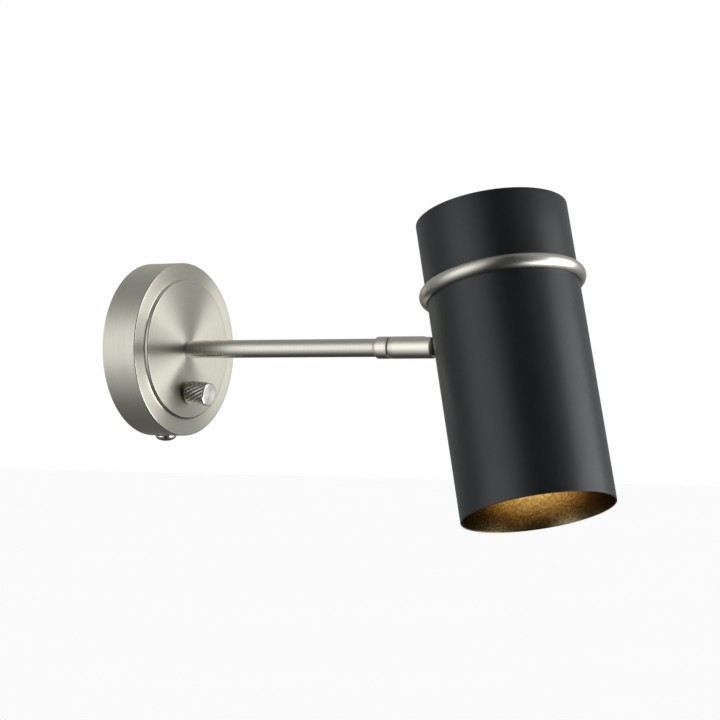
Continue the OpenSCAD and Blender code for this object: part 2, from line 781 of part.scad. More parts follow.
// Curved washer that fits the inside of the shade
module saddle_washer() color(zinc) in_shade() difference() {
    intersection() {
        along_stem() rod(saddle_r, saddle_face, shade_r);
        rod(shade_inner_r, -saddle_r - cut, saddle_r + cut, $fn = 240);
    }
    along_stem() rod(thread_r, saddle_face - cut, shade_r + cut);
}

// Nut that clamps the lampholder's bracket and the shade to the stem
module stem_nut() color(brass) in_shade() along_stem() difference() {
    hexagon(stem_nut_flats, stem_nut_z, stem_nut_z + stem_nut_h);
    rod(thread_r, stem_end - cut, saddle_face);
}

// Bent steel strap with a shelf for the lampholder
module holder_bracket() color(zinc) in_shade() difference() {
    union() {
        translate([-strap_w / 2, saddle_face - strap_t, -strap_w / 2])
            cube([strap_w, strap_t, shelf_z + strap_w / 2]);
        translate([-strap_w / 2, 0, shelf_bottom]) cube([strap_w, saddle_face, strap_t]);
        rod(strap_w / 2, shelf_bottom, shelf_z);
    }
    along_stem() rod(thread_r, saddle_face - strap_t - cut, saddle_face + cut);
    rod(holder_nipple_r, shelf_bottom - cut, shelf_z + cut);
    translate([0, feed_y, 0]) rod(feed_r, shelf_bottom - cut, shelf_z + cut);
}

// Hollow nipple between the shelf and the lampholder
module holder_nipple() color(brass) in_shade() difference() {
    rod(holder_nipple_r, shelf_bottom - holder_nipple_in, holder_nipple_top);
    rod(nipple_bore_r, shelf_bottom - holder_nipple_in - cut, holder_nipple_top + cut);
}

// Nut on top of the shelf
module holder_nut() color(brass) in_shade() difference() {
    hexagon(nipple_nut_flats, holder_nut_z, holder_nut_z + holder_nut_h);
    rod(holder_nipple_r, shelf_z, holder_nut_z + holder_nut_h + cut);
}

// Domed upper cap of the lampholder, open below
module holder_cap() color(bakelite) in_shade() {
    top = shelf_bottom;
    crown = top - crown_extra;
    round_x = holder_r - holder_cap_round;
    difference() {
        rotate_extrude() polygon(concat([[0, holder_cap_z], [holder_r, holder_cap_z]],
            arc(round_x, top - holder_cap_round, holder_cap_round, 0, 80, 8), [[0, top]]));
        rotate_extrude() polygon(concat(
            [[0, holder_cap_z - cut], [holder_r - holder_t, holder_cap_z - cut]],
            arc(round_x, crown - holder_cap_round, holder_cap_round - holder_t, 0, 80, 8),
            [[0, crown - holder_t]]));
        rod(holder_nipple_r, top - holder_cap_round, top + cut);
    }
}

// Lower sleeve of the lampholder, with grip ribs and a ledge for the insert
module holder_body() color(bakelite) in_shade() difference() {
    union() {
        rod(holder_r - rib_depth, rim_z, holder_cap_z);
        for (h = [rib_start : rib_pitch : holder_body_h - rib_start])
            rod(holder_r, rim_z + h, rim_z + h + rib_h);
    }
    rod(bulb_cap_r + shell_fit + shell_t + shell_room, rim_z - cut, shell_end);
    rod(insert_r, shell_end, holder_cap_z + cut);
}

// Ceramic insert that carries the contacts
module holder_insert() color(ceramic) in_shade() difference() {
    union() {
        rod(insert_r, insert_z - insert_t, insert_z);
        rod(insert_neck_r, insert_z, insert_z + insert_h);
    }
    rod(bulb_cap_r - 2, insert_z - insert_t - cut, insert_z - insert_recess);
    for (side = [-1, 1]) translate([side * holder_lead_x, 0, 0])
        rod(lead_r + near_gap, insert_z + 2, insert_z + insert_h + cut);
}

// Brass screw shell that takes the bulb's cap
module screw_shell() color(brass) in_shade() difference() {
    rod(bulb_cap_r + shell_fit + shell_t, shell_start, shell_end);
    rod(bulb_cap_r + shell_fit, shell_start - cut, shell_end - shell_t);
    rod(shell_hole_r, shell_end - 2 * cut, shell_end + cut);
}

// Sprung centre contact of the lampholder
module centre_contact() color(brass) in_shade() {
    strip_z = insert_z - insert_recess - contact_t;
    translate([-contact_l / 2, -contact_w / 2, strip_z]) cube([contact_l, contact_w, contact_t]);
    rod(contact_r, contact_tip_z, strip_z);
}

// Screw cap of the bulb
module bulb_cap() color(zinc) in_shade() difference() {
    cone_z = bulb_cap_top - cone_h;
    union() {
        rod(bulb_cap_r, glass_z - 1, cone_z);
        translate([0, 0, cone_z]) cylinder(r1 = bulb_cap_r, r2 = cone_r, h = cone_h);
        for (turn = [0 : thread_turns - 1]) translate([0, 0, cone_z - 3 - thread_pitch * turn])
            cylinder(r = bulb_cap_r + shell_fit - thread_play, h = thread_h);
    }
    rod(bulb_cap_r - bulb_cap_t, glass_z - 1 - cut, cone_z - bulb_cap_t);
    rod(insulator_r, cone_z - cut, bulb_cap_top + cut);
}

// Insulator and foot contact of the bulb
module bulb_contact() color(brass) in_shade() {
    rod(insulator_r, bulb_cap_top - cone_h, bulb_cap_top);
    rod(foot_r, bulb_cap_top - cut, contact_tip_z);
}

// Half section of the bulb's glass, drawn in by the glass's thickness
function bulb_outline(inset) = let (
        r = bulb_r - inset, z = glass_z - bulb_l + bulb_r, neck = bulb_cap_r - bulb_cap_t - inset,
        a = [r * cos(35), z + r * sin(35)], b = [neck + 1.4, z + bulb_r * 1.02], c = [neck, glass_z - 2],
        end = glass_z + glass_in - inset * 2
    ) concat(
        arc(0, z, r, -90, 35, 14),
        [for (i = [1 : 6]) let (t = i / 6) (1 - t) * (1 - t) * a + 2 * t * (1 - t) * b + t * t * c],
        [[neck, end], [0, end]]
    );

// Round opal globe of the bulb
module bulb_globe() color([1, 0.93, 0.80, 0.6]) in_shade() difference() {
    rotate_extrude() polygon(bulb_outline(0));
    rotate_extrude() polygon(bulb_outline(glass_t));
}

// Thin metal cylinder of the shade
module shade_tube() color(black) in_shade() difference() {
    rod(shade_r, -shade_below, shade_above);
    rod(shade_inner_r, -shade_below - cut, shade_above + cut);
    along_stem() rod(thread_r + hole_play, shade_inner_r - cut, shade_r + cut);
}

// Pressed cap in the shade's top, with a ring of heat vents
module shade_cap() color(black) in_shade() difference() {
    rod(cap_r, cap_z - cap_flange, cap_z);
    rod(cap_r - cap_t, cap_z - cap_flange - cut, cap_z - cap_t);
    for (i = [0 : vents - 1]) rotate([0, 0, 360 * i / vents]) translate([vent_circle, 0, 0])
        rod(vent_d / 2, cap_z - cap_t - cut, cap_z + cut);
}

// Half round ring clasped on the shade
module shade_ring() color(nickel) in_shade() translate([0, 0, ring_z]) rotate_extrude() intersection() {
    translate([shade_r, 0]) circle(r = ring_r);
    translate([shade_r, -ring_r - cut]) square([ring_r + cut, 2 * ring_r + 2 * cut]);
}

// Moulded housing of the dimmer, behind the wall plate
module dimmer_housing() color(bakelite) out_of_wall() at_knob() difference() {
    union() {
        translate([-dimmer_w / 2, -dimmer_w / 2, dimmer_bottom]) cube([dimmer_w, dimmer_w, dimmer_depth]);
        rod(boss_r, housing_top - cut, dimmer_top);
    }
    rod(bush_r, bush_end, dimmer_top + cut);
    rod(wiper_r + near_gap, bush_end - wiper_t - 2 * near_gap, bush_end);
    rod(shaft_r + near_gap, bush_end - wiper_t - shaft_tail - 0.5, bush_end - wiper_t);
    for (side = [-1, 1]) translate([side * tab_x - tab_w / 2, -tab_t / 2, dimmer_bottom - cut])
        cube([tab_w, tab_t, cut + tab_in]);
}

// Metal cover plate on the dimmer's back
module dimmer_cover() color(zinc) out_of_wall() at_knob() difference() {
    translate([-dimmer_w / 2, -dimmer_w / 2, dimmer_bottom - cover_t]) cube([dimmer_w, dimmer_w, cover_t]);
    for (side = [-1, 1])
        translate([side * tab_x - tab_window[0] / 2, -tab_window[1] / 2, dimmer_bottom - cover_t - cut])
            cube([tab_window[0], tab_window[1], cover_t + 2 * cut]);
}

// Solder tabs on the dimmer's back
module dimmer_terminals() color(brass) out_of_wall() at_knob() for (side = [-1, 1])
    translate([side * tab_x - tab_w / 2, -tab_t / 2, dimmer_bottom - tab_h])
        cube([tab_w, tab_t, tab_h + tab_in]);

// Threaded brass bushing that holds the dimmer in the plate
module dimmer_bushing() color(brass) out_of_wall() at_knob() difference() {
    rod(bush_r, bush_end, bush_top);
    rod(shaft_r + shaft_fit, bush_end - cut, bush_top + cut);
}

// Washer under the dimmer's nut
module dimmer_washer() color(zinc) out_of_wall() at_knob() difference() {
    rod(dimmer_washer_r, 0, dimmer_washer_t);
    rod(bush_r, -cut, dimmer_washer_t + cut);
}

// Nut that clamps the dimmer to the plate, hidden in the knob's recess
module dimmer_nut() color(brass) out_of_wall() at_knob() difference() {
    hexagon(dimmer_nut_flats, dimmer_washer_t, dimmer_washer_t + dimmer_nut_h);
    rod(bush_r, -cut, dimmer_washer_t + dimmer_nut_h + cut);
}

// Flatted shaft of the dimmer, with its wiper disc
module dimmer_shaft() color(zinc) out_of_wall() at_knob() {
    difference() {
        rod(shaft_r, bush_end - wiper_t - shaft_tail, shaft_top);
        translate([shaft_r - shaft_flat, -shaft_r - cut, bush_top + near_gap])
            cube([shaft_flat + cut, 2 * shaft_r + 2 * cut, shaft_top]);
    }
    rod(wiper_r, bush_end - wiper_t - near_gap, bush_end - near_gap);
}

// Knob with a bevelled face and a recess over the dimmer's nut
module knob() color(nickel) out_of_wall() at_knob() difference() {
    rotate_extrude() polygon([[0, knob_gap], [knob_r - knob_edge, knob_gap], [knob_r, knob_gap + knob_edge],
        [knob_r, knob_gap + knob_l - knob_bevel], [knob_r - knob_bevel, knob_gap + knob_l],
        [0, knob_gap + knob_l]]);
    rod(recess_r, knob_gap - cut, recess_top);
    rod(shaft_r, knob_gap, shaft_top);
    translate([0, 0, grub_z]) rotate([0, 90, 0]) cylinder(r = grub_r, h = knob_r + cut);
}

// Grub screw that locks the knob on the shaft's flat
module knob_grub_screw() color(zinc) out_of_wall() at_knob() translate([0, 0, grub_z]) rotate([0, 90, 0])
    difference() {
        rod(grub_r, shaft_r - shaft_flat, knob_r - grub_inset);
        hexagon(grub_socket_flats, knob_r - grub_inset - grub_socket_depth, knob_r);
    }

// Point on a lead inside a pole of the terminal block, or outside it, at a distance from its face
function pole_point(pole, in, shift) =
    [block_x - block_w / 2 + in, pole * (pole_pitch / 2) + shift, pole_z];

// Points on a lead at one of the dimmer's solder tabs, and at a distance behind it
function tab_point(side, back) = knob_point([side * tab_x, tab_t, dimmer_bottom - back]);

// Live lead from the terminal block to the dimmer
module supply_lead() color(brown) out_of_wall() lead([
    pole_point(-1, lead_grip, 0), pole_point(-1, -lead_grip, -1),
    [10, -18, 9], tab_point(1, lead_grip), tab_point(1, 0.2)]);

// Live lead from the dimmer through the rod
module switched_lead() color(brown) out_of_wall() lead([
    tab_point(-1, 0.2), tab_point(-1, lead_grip + 1),
    [-5, -9, nipple_back_z - 11], [lead_b[0], lead_b[1], nipple_back_z - lead_grip - 1],
    [lead_b[0], lead_b[1], bolt_head_top - near_gap]]);

// Neutral lead from the terminal block through the rod
module neutral_lead() color(blue) out_of_wall() lead([
    pole_point(1, lead_grip, 0), pole_point(1, 1 - lead_grip, -1),
    [wire_hole_d / 2, 1, pole_z], [lead_c[0], lead_c[1], nipple_back_z - lead_grip],
    [lead_c[0], lead_c[1], bolt_head_top - near_gap]]);

// Earth lead from its tag through the rod
module earth_lead() color(green) out_of_wall() lead([
    [0, earth_y - earth_r - crimp_start, bracket_t + crimp_r],
    [lead_a[0], lead_a[1], bracket_t + crimp_r], [lead_a[0], lead_a[1], bolt_head_top - near_gap]]);

// Three leads inside the turning barrel
module swivel_leads() color(brown) swivelled() for (place = [lead_a, lead_b, lead_c])
    translate([place[0], place[1], 0])
        rod(lead_r, bolt_head_top + near_gap, pivot_reach - ball_r - 2 * near_gap);

// Route of a lead in the shade, from the ball up through the shelf and over to its end
function shade_route(place, top, far_y) = let (
        x = place[0] * lead_spread, y = feed_y + place[1], z = top + place[1]
    ) [
        [place[0], stem_len + 3, place[1]], [place[0], stem_end, place[1]],
        [x, y, place[1]], [x, y, z], [x, far_y, z]
    ];

// Live and neutral leads from the ball to the lampholder
module shade_leads() color(brown) in_shade() for (place = [lead_b, lead_c]) {
    insert_x = sign(place[0]) * holder_lead_x;
    lead(concat(shade_route(place, shelf_z + 16, -place[1]), [
        [place[0], -place[1], insert_z + insert_h + lead_grip],
        [insert_x, 0, insert_z + insert_h + 1.5], [insert_x, 0, insert_z + 3]]));
}

// Earth lead from the ball to the tag on the shelf
module shade_earth_lead() color(green) in_shade()
    lead(shade_route(lead_a, shelf_z + crimp_r - lead_a[1], holder_nipple_r + crimp_start));

// Ring tag under the shelf's nut
module shade_earth_tag() color(zinc) in_shade() translate([0, 0, shelf_z]) rotate([0, 0, 180])
    ring_tag(holder_nipple_r);

mounting_bracket();
ear_nut();
hook_tab();
wall_plate();
side_screw();
earth_screw();
earth_washer();
earth_tag();
terminal_block();
terminal_barrels();
terminal_screws();
block_screw();
backing_washer();
lock_washer();
arm_nut();
arm_nipple();
arm_tube();
joint_collar();
swivel_bolt();
swivel_washer();
stop_pin();
swivel_barrel();
spring_washer();
ball_spring();
ball_cup();
ball_stem();
dimmer_housing();
dimmer_cover();
dimmer_terminals();
dimmer_bushing();
dimmer_washer();
dimmer_nut();
dimmer_shaft();
knob();
knob_grub_screw();
saddle_washer();
stem_nut();
holder_bracket();
holder_nipple();
holder_nut();
holder_cap();
holder_body();
holder_insert();
screw_shell();
centre_contact();
bulb_cap();
bulb_contact();
bulb_globe();
shade_tube();
shade_cap();
shade_ring();
supply_lead();
switched_lead();
neutral_lead();
earth_lead();
swivel_leads();
shade_leads();
shade_earth_lead();
shade_earth_tag();
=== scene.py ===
import math

import bpy
from mathutils import Matrix, Vector


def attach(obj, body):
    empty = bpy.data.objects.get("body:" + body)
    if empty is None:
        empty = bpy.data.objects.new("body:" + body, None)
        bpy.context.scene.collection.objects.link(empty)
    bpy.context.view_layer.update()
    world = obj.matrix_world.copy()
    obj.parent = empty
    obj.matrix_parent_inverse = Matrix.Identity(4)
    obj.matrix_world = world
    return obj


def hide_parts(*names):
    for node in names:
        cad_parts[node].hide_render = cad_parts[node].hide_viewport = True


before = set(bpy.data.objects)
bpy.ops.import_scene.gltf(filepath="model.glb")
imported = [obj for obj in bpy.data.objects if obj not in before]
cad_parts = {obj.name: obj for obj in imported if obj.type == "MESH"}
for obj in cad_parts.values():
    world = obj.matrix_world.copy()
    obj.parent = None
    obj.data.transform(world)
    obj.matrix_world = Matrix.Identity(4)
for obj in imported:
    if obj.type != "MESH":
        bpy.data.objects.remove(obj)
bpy.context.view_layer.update()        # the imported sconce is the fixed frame
mm = 0.001

# Mounting bracket, its nut and hook, and the other small steel fittings.
# Pressed and turned from mild steel, then zinc plated and passivated, with faint blue and straw tints.
# The bracket is screwed to the wall box, and the wall plate hooks over its upper ear.


def set_inputs(node, **values):
    """Fills a node's sockets by name, with spaces written as underscores."""
    for name, value in values.items():
        node.inputs[name.replace("_", " ")].default_value = value
    return node


def new_finish(name, **values):
    """A material with one glossy shader, ready for its pattern nodes."""
    finish = bpy.data.materials.new(name)
    finish.use_nodes = True
    shader = finish.node_tree.nodes["Principled BSDF"]
    set_inputs(shader, **values)
    return finish, finish.node_tree, shader


def math_node(tree, operation, first, second=None):
    """One sum on two values, which are sockets or plain numbers."""
    node = tree.nodes.new("ShaderNodeMath")
    node.operation = operation
    for slot_number, value in enumerate([first, second]):
        if value is None:
            continue
        if isinstance(value, (int, float)):
            node.inputs[slot_number].default_value = value
        else:
            tree.links.new(value, node.inputs[slot_number])
    return node.outputs[0]


def ramp(tree, factor, stops):
    """Colours or greys along a factor, given as (place, colour) or (place, grey) pairs."""
    node = tree.nodes.new("ShaderNodeValToRGB")
    while len(node.color_ramp.elements) < len(stops):
        node.color_ramp.elements.new(0.5)
    for element, (place, colour) in zip(node.color_ramp.elements, stops):
        red, green, blue = colour if isinstance(colour, tuple) else (colour,) * 3
        element.position = place
        element.color = (red, green, blue, 1)
    tree.links.new(factor, node.inputs[0])
    return node.outputs[0]


def noise(tree, vector, scale, detail, roughness=0.5):
    """A noise pattern on a position."""
    node = set_inputs(tree.nodes.new("ShaderNodeTexNoise"), Scale=scale, Detail=detail, Roughness=roughness)
    tree.links.new(vector, node.inputs["Vector"])
    return node.outputs[0]


def bump(tree, shader, height, depth):
    """Raises the shader's surface by a height pattern, in metres."""
    node = set_inputs(tree.nodes.new("ShaderNodeBump"), Distance=depth, Strength=1.0)
    tree.links.new(height, node.inputs["Height"])
    tree.links.new(node.outputs[0], shader.inputs["Normal"])


def position_on(tree, placed=None):
    """The position on a piece in the row's directions, or in the piece's own where its place is given."""
    place = tree.nodes.new("ShaderNodeTexCoord").outputs["Object"]
    if placed is None:
        return place
    turn = tree.nodes.new("ShaderNodeMapping")
    turn.vector_type = "TEXTURE"
    turn.inputs["Location"].default_value = placed.to_translation()
    turn.inputs["Rotation"].default_value = placed.to_euler()
    tree.links.new(place, turn.inputs["Vector"])
    return turn.outputs[0]


def mottled(name, colours, roughness, relief=None, placed=None, **values):
    """A finish that wanders over the piece: colours and roughness are (scale, detail, stops) of a
    noise pattern, and relief is (scale, detail, depth in metres)."""
    finish, tree, shader = new_finish(name, **values)
    spot = position_on(tree, placed)
    for socket, (scale, detail, stops) in (("Base Color", colours), ("Roughness", roughness)):
        tree.links.new(ramp(tree, noise(tree, spot, scale, detail), stops), shader.inputs[socket])
    if relief:
        scale, detail, depth = relief
        bump(tree, shader, noise(tree, spot, scale, detail), depth)
    return finish


def dress(finish, names):
    """Gives carried-over nodes their finish."""
    for name in names.split():
        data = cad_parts[name].data
        data.materials.clear()
        data.materials.append(finish)


zinc = mottled("zinc_plate",
               (90, 3, [(0.30, (0.56, 0.60, 0.66)), (0.50, (0.66, 0.66, 0.66)), (0.72, (0.70, 0.66, 0.56))]),
               (600, 5, [(0.3, 0.24), (0.7, 0.42)]), (2600, 3, 0.00002), Metallic=1.0)
dress(zinc, "mounting_bracket ear_nut hook_tab earth_washer earth_tag terminal_screws block_screw")
dress(zinc, "backing_washer lock_washer dimmer_cover dimmer_washer dimmer_shaft saddle_washer")
dress(zinc, "holder_bracket spring_washer shade_earth_tag bulb_cap ball_spring")

# Brass pieces: the earth screw, terminal barrels, hollow nipples, nuts, bolt and contacts.
# Turned from bar and left bare, so a little brown tarnish shows.

brass = mottled("turned_brass",
                (160, 4, [(0.30, (0.60, 0.42, 0.17)), (0.60, (0.80, 0.62, 0.29)),
                          (0.85, (0.87, 0.72, 0.40))]),
                (900, 4, [(0.3, 0.18), (0.7, 0.36)]), (3000, 3, 0.00001), Metallic=1.0)
dress(brass, "earth_screw terminal_barrels arm_nut arm_nipple swivel_bolt dimmer_terminals dimmer_bushing")
dress(brass, "dimmer_nut ball_cup stem_nut holder_nipple holder_nut screw_shell centre_contact bulb_contact")

# Terminal block: white moulded plastic with brass barrels inside, screwed to the bracket's wing.
# The moulded skin has a fine spark grain and a slight warm tint.

white_plastic = mottled("white_plastic", (70, 2, [(0.3, (0.84, 0.83, 0.79)), (0.7, (0.89, 0.88, 0.85))]),
                        (1500, 3, [(0.3, 0.36), (0.7, 0.50)]), (2200, 2, 0.00003),
                        Subsurface_Weight=0.05, Coat_Weight=0.1)
dress(white_plastic, "terminal_block")

# Dimmer housing, and the lampholder's cap and sleeve: dark thermoset mouldings.
# The resin is near black with fine paler specks of filler, and has a dull shine.

moulding = mottled("dark_moulding", (2400, 2, [(0.35, (0.012, 0.011, 0.010)), (0.62, (0.022, 0.019, 0.017)),
                                               (0.80, (0.07, 0.06, 0.05))]),
                   (260, 4, [(0.3, 0.30), (0.7, 0.46)]), (1200, 3, 0.00003))
dress(moulding, "dimmer_housing holder_cap holder_body")

# Wall plate: spun from 1.2 mm steel sheet with a raised, faintly domed disc, nickel plated and brushed.
# The rod, the knob and the side screw go through it, and a flat seat is pressed where the dimmer's
# bushing comes out.


def arc(x, z, r, start, end, steps):
    """Points of an arc in a half section."""
    angles = [math.radians(start + (end - start) * i / steps) for i in range(steps + 1)]
    return [(x + r * math.cos(angle), z + r * math.sin(angle)) for angle in angles]


def deselect():
    bpy.ops.object.select_all(action="DESELECT")


def activate(piece):
    """Makes a piece the only one selected."""
    deselect()
    piece.select_set(True)
    bpy.context.view_layer.objects.active = piece


def turned(name, outline, steps):
    """Turns a half section round Z: pairs of distance from the axis and height, in millimetres."""
    weld = 0.000004
    deselect()
    bpy.ops.mesh.primitive_plane_add(size=mm)
    piece = bpy.context.object
    piece.name = piece.data.name = name
    bpy.ops.object.mode_set(mode="EDIT")
    bpy.ops.mesh.select_all(action="SELECT")
    bpy.ops.mesh.merge(type="CENTER")
    bpy.ops.transform.translate(value=(outline[0][0] * mm, 0, outline[0][1] * mm))
    for here, there in zip(outline, outline[1:]):
        step = ((there[0] - here[0]) * mm, 0, (there[1] - here[1]) * mm)
        bpy.ops.mesh.extrude_region_move(TRANSFORM_OT_translate={"value": step})
    bpy.ops.mesh.select_all(action="SELECT")
    bpy.ops.mesh.spin(steps=steps, angle=2 * math.pi, center=(0, 0, 0), axis=(0, 0, 1))
    bpy.ops.mesh.select_all(action="SELECT")
    bpy.ops.mesh.remove_doubles(threshold=weld)
    bpy.ops.mesh.delete_loose()
    bpy.ops.mesh.select_all(action="SELECT")
    bpy.ops.mesh.normals_make_consistent(inside=False)
    bpy.ops.object.mode_set(mode="OBJECT")
    return piece


def cut_with(piece, tool, operation="DIFFERENCE"):
    """Cuts a piece with a tool, or joins the tool to it, and clears the tool away."""
    change = piece.modifiers.new("cut", "BOOLEAN")
    change.operation = operation
    change.solver = "EXACT"
    change.object = tool
    activate(piece)
    bpy.ops.object.modifier_apply(modifier=change.name)
    bpy.data.objects.remove(tool)


def drill(r, start, end, placed=None, vertices=48):
    """A round cutter along its own Z between two heights, in millimetres, set in place."""
    deselect()
    bpy.ops.mesh.primitive_cylinder_add(vertices=vertices, radius=r * mm, depth=(end - start) * mm,
                                        location=(0, 0, (start + end) / 2 * mm))
    tool = bpy.context.object
    bpy.ops.object.transform_apply(location=True, rotation=True, scale=True)
    if placed is not None:
        tool.data.transform(placed)
    return tool


def lay_brush_lines(piece):
    """Unwraps a turned piece round its own axis, so that brushing and shine can follow it."""
    flat_from, per_metre = 0.7, 10
    layer = piece.data.uv_layers.new(name="round")
    points = piece.data.vertices
    for face in piece.data.polygons:
        flat = abs(face.normal.z) > flat_from
        middle = math.atan2(face.center.y, face.center.x)
        for corner in face.loop_indices:
            place = points[piece.data.loops[corner].vertex_index].co
            angle = math.atan2(place.y, place.x) - middle
            angle = (angle + math.pi) % (2 * math.pi) - math.pi
            reach = math.hypot(place.x, place.y)
            if reach < 1e-6:
                angle = 0
            along = (reach if flat else place.z) * per_metre
            layer.data[corner].uv = ((middle + angle) / (2 * math.pi), along)


def finish_piece(piece, placed, smooth_angle=35):
    """Sets a turned piece in its place and shades it smooth, with its sharp corners kept."""
    piece.data.transform(placed)
    activate(piece)
    bpy.ops.object.shade_smooth_by_angle(angle=math.radians(smooth_angle))


out_of_wall = Matrix.Rotation(math.radians(90), 4, "X")
plate_r, plate_depth, plate_t, corner, inner_corner = 60, 26.7, 1.2, 0.8, 0.6
disc_r, disc_edge_z, disc_dome, step_w = 48, 29.2, 0.8, 0.9
brow_round, foot_round, foot_out, step_draft = 0.7, 1.0, 1.3, 16
arm_hole_r, shaft_hole_r, screw_hole_r, side_screw_z = 5.1, 3.6, 2.4, 10.2
knob_side, knob_drop, knob_droop, seat_r = -1, 29.6, 6, 7
dome_r = (disc_r ** 2 + disc_dome ** 2) / (2 * disc_dome)


def disc_height(r):
    """How far the domed disc stands from the wall at a distance from its middle."""
    return disc_edge_z + disc_dome - (dome_r - math.sqrt(dome_r ** 2 - r ** 2))


knob_seat_z = disc_height(math.hypot(knob_side, knob_drop))
at_knob = (out_of_wall @ Matrix.Translation((knob_side * mm, -knob_drop * mm, knob_seat_z * mm))
           @ Matrix.Rotation(math.radians(knob_droop), 4, "X"))
at_side_screw = (out_of_wall @ Matrix.Translation((0, -plate_r * mm, side_screw_z * mm))
                 @ Matrix.Rotation(math.radians(90), 4, "X"))
into_plate = out_of_wall.inverted()
knob_local, screw_local = into_plate @ at_knob, into_plate @ at_side_screw
inside_r, inside_z, step_inside = plate_r - plate_t, plate_depth - plate_t, disc_r + step_w - plate_t
wall_rim = [(plate_r - 0.8, 0.15), (plate_r - 0.4, 0), (plate_r, 0.3)]
outline = wall_rim + [(plate_r, z) for z in (7, 14, 21)]
outline += arc(plate_r - corner, plate_depth - corner, corner, 0, 90, 8)
outline += [(r, plate_depth) for r in (56, 52.5)]
outline += arc(disc_r + foot_out, plate_depth + foot_round, foot_round, 270, 180 + step_draft, 7)
outline += arc(disc_r - brow_round, disc_edge_z - brow_round, brow_round, step_draft, 86, 9)
outline += [(r, disc_height(r)) for r in (45, 41, 36, 30, 24, 18, 12, 8, arm_hole_r)]
outline += [(r, disc_height(r) - plate_t) for r in (arm_hole_r, 12, 24, 36, 46)]
outline += [(step_inside, disc_edge_z - plate_t - 0.8), (step_inside + 0.6, inside_z), (54, inside_z)]
outline += arc(inside_r - inner_corner, inside_z - inner_corner, inner_corner, 90, 0, 4)
outline += [(inside_r, 12), (inside_r, 0.4), wall_rim[0]]
wall_plate = turned("wall_plate_shell", outline, 160)
above, below = 3, -4        # how far the cutters reach past the sheet
cut_with(wall_plate, drill(seat_r, 0, above, knob_local))
cut_with(wall_plate, drill(seat_r, -plate_t, 0, knob_local), "UNION")
cut_with(wall_plate, drill(seat_r, below, -plate_t, knob_local))
cut_with(wall_plate, drill(shaft_hole_r, below, above, knob_local))
cut_with(wall_plate, drill(screw_hole_r, -3, 3, screw_local))
lay_brush_lines(wall_plate)
front_part, edge_part, riser_part, side_part = range(4)
for face in wall_plate.data.polygons:
    reach, height = math.hypot(face.center.x, face.center.y) / mm, face.center.z / mm
    on_step = disc_r - brow_round < reach < disc_r + foot_out and height > plate_depth - 0.05
    on_riser = on_step and reach < disc_r + 0.5 and height > plate_depth + 0.5
    on_corner = reach > plate_r - corner and height > plate_depth - corner
    on_side = reach > plate_r - 0.1
    face.material_index = (riser_part if on_riser else edge_part if on_step or on_corner
                           else side_part if on_side else front_part)
finish_piece(wall_plate, out_of_wall)


def new_effect(name, inputs, outputs):
    """An empty node group with named inputs and outputs."""
    effect = bpy.data.node_groups.new(name, "ShaderNodeTree")
    for label, kind, value in inputs:
        socket = effect.interface.new_socket(label, in_out="INPUT", socket_type=kind)
        if value is not None:
            socket.default_value = value
    for label, kind in outputs:
        effect.interface.new_socket(label, in_out="OUTPUT", socket_type=kind)
    return effect, effect.nodes.new("NodeGroupInput"), effect.nodes.new("NodeGroupOutput")


# The brushing follows the lathe: fine rings round the axis that grow and fade along the turn.
brush, entry, leave = new_effect("Lathe brushing",
                                 [("Position", "NodeSocketVector", None),
                                  ("Rings", "NodeSocketFloat", 700.0), ("Round", "NodeSocketFloat", 2.5)],
                                 [("Marks", "NodeSocketFloat")])
parts = brush.nodes.new("ShaderNodeSeparateXYZ")
brush.links.new(entry.outputs["Position"], parts.inputs[0])
own_x, own_y, own_z = parts.outputs
x_squared, y_squared = [math_node(brush, "MULTIPLY", side, side) for side in (own_x, own_y)]
reach = math_node(brush, "SQRT", math_node(brush, "ADD", x_squared, y_squared))
safe_reach = math_node(brush, "MAXIMUM", reach, 0.0001)
joined = brush.nodes.new("ShaderNodeCombineXYZ")
brush.links.new(math_node(brush, "MULTIPLY", reach, entry.outputs["Rings"]), joined.inputs[0])
for side, joined_input in zip((own_x, own_y), joined.inputs[1:]):
    share = math_node(brush, "DIVIDE", side, safe_reach)
    brush.links.new(math_node(brush, "MULTIPLY", share, entry.outputs["Round"]), joined_input)
lines = set_inputs(brush.nodes.new("ShaderNodeTexNoise"), Scale=1.0, Detail=3.0, Roughness=0.6)
lines.noise_dimensions = "4D"
brush.links.new(joined.outputs[0], lines.inputs["Vector"])
brush.links.new(math_node(brush, "MULTIPLY", own_z, entry.outputs["Rings"]), lines.inputs["W"])
brush.links.new(lines.outputs[0], leave.inputs["Marks"])


def brushed_nickel(name, placed, dark, bright, shine, spread=0.5, rings=900.0, around=0.4, uneven=0.01):
    """Satin nickel, brushed round the axis of the piece's own place."""
    mark_depth = 0.0000015
    finish, tree, shader = new_finish(name, Metallic=1.0, Anisotropic=spread, Anisotropic_Rotation=0.25)
    marks = tree.nodes.new("ShaderNodeGroup")
    marks.node_tree = brush
    set_inputs(marks, Rings=rings, Round=around)
    tree.links.new(position_on(tree, placed), marks.inputs["Position"])
    rough = [(0.25, shine + uneven), (0.75, shine - uneven)]
    tree.links.new(ramp(tree, marks.outputs[0], [(0.25, dark), (0.75, bright)]), shader.inputs["Base Color"])
    tree.links.new(ramp(tree, marks.outputs[0], rough), shader.inputs["Roughness"])
    bump(tree, shader, marks.outputs[0], mark_depth)
    grain = tree.nodes.new("ShaderNodeTangent")
    grain.direction_type = "UV_MAP"
    grain.uv_map = "round"
    tree.links.new(grain.outputs[0], shader.inputs["Tangent"])
    return finish


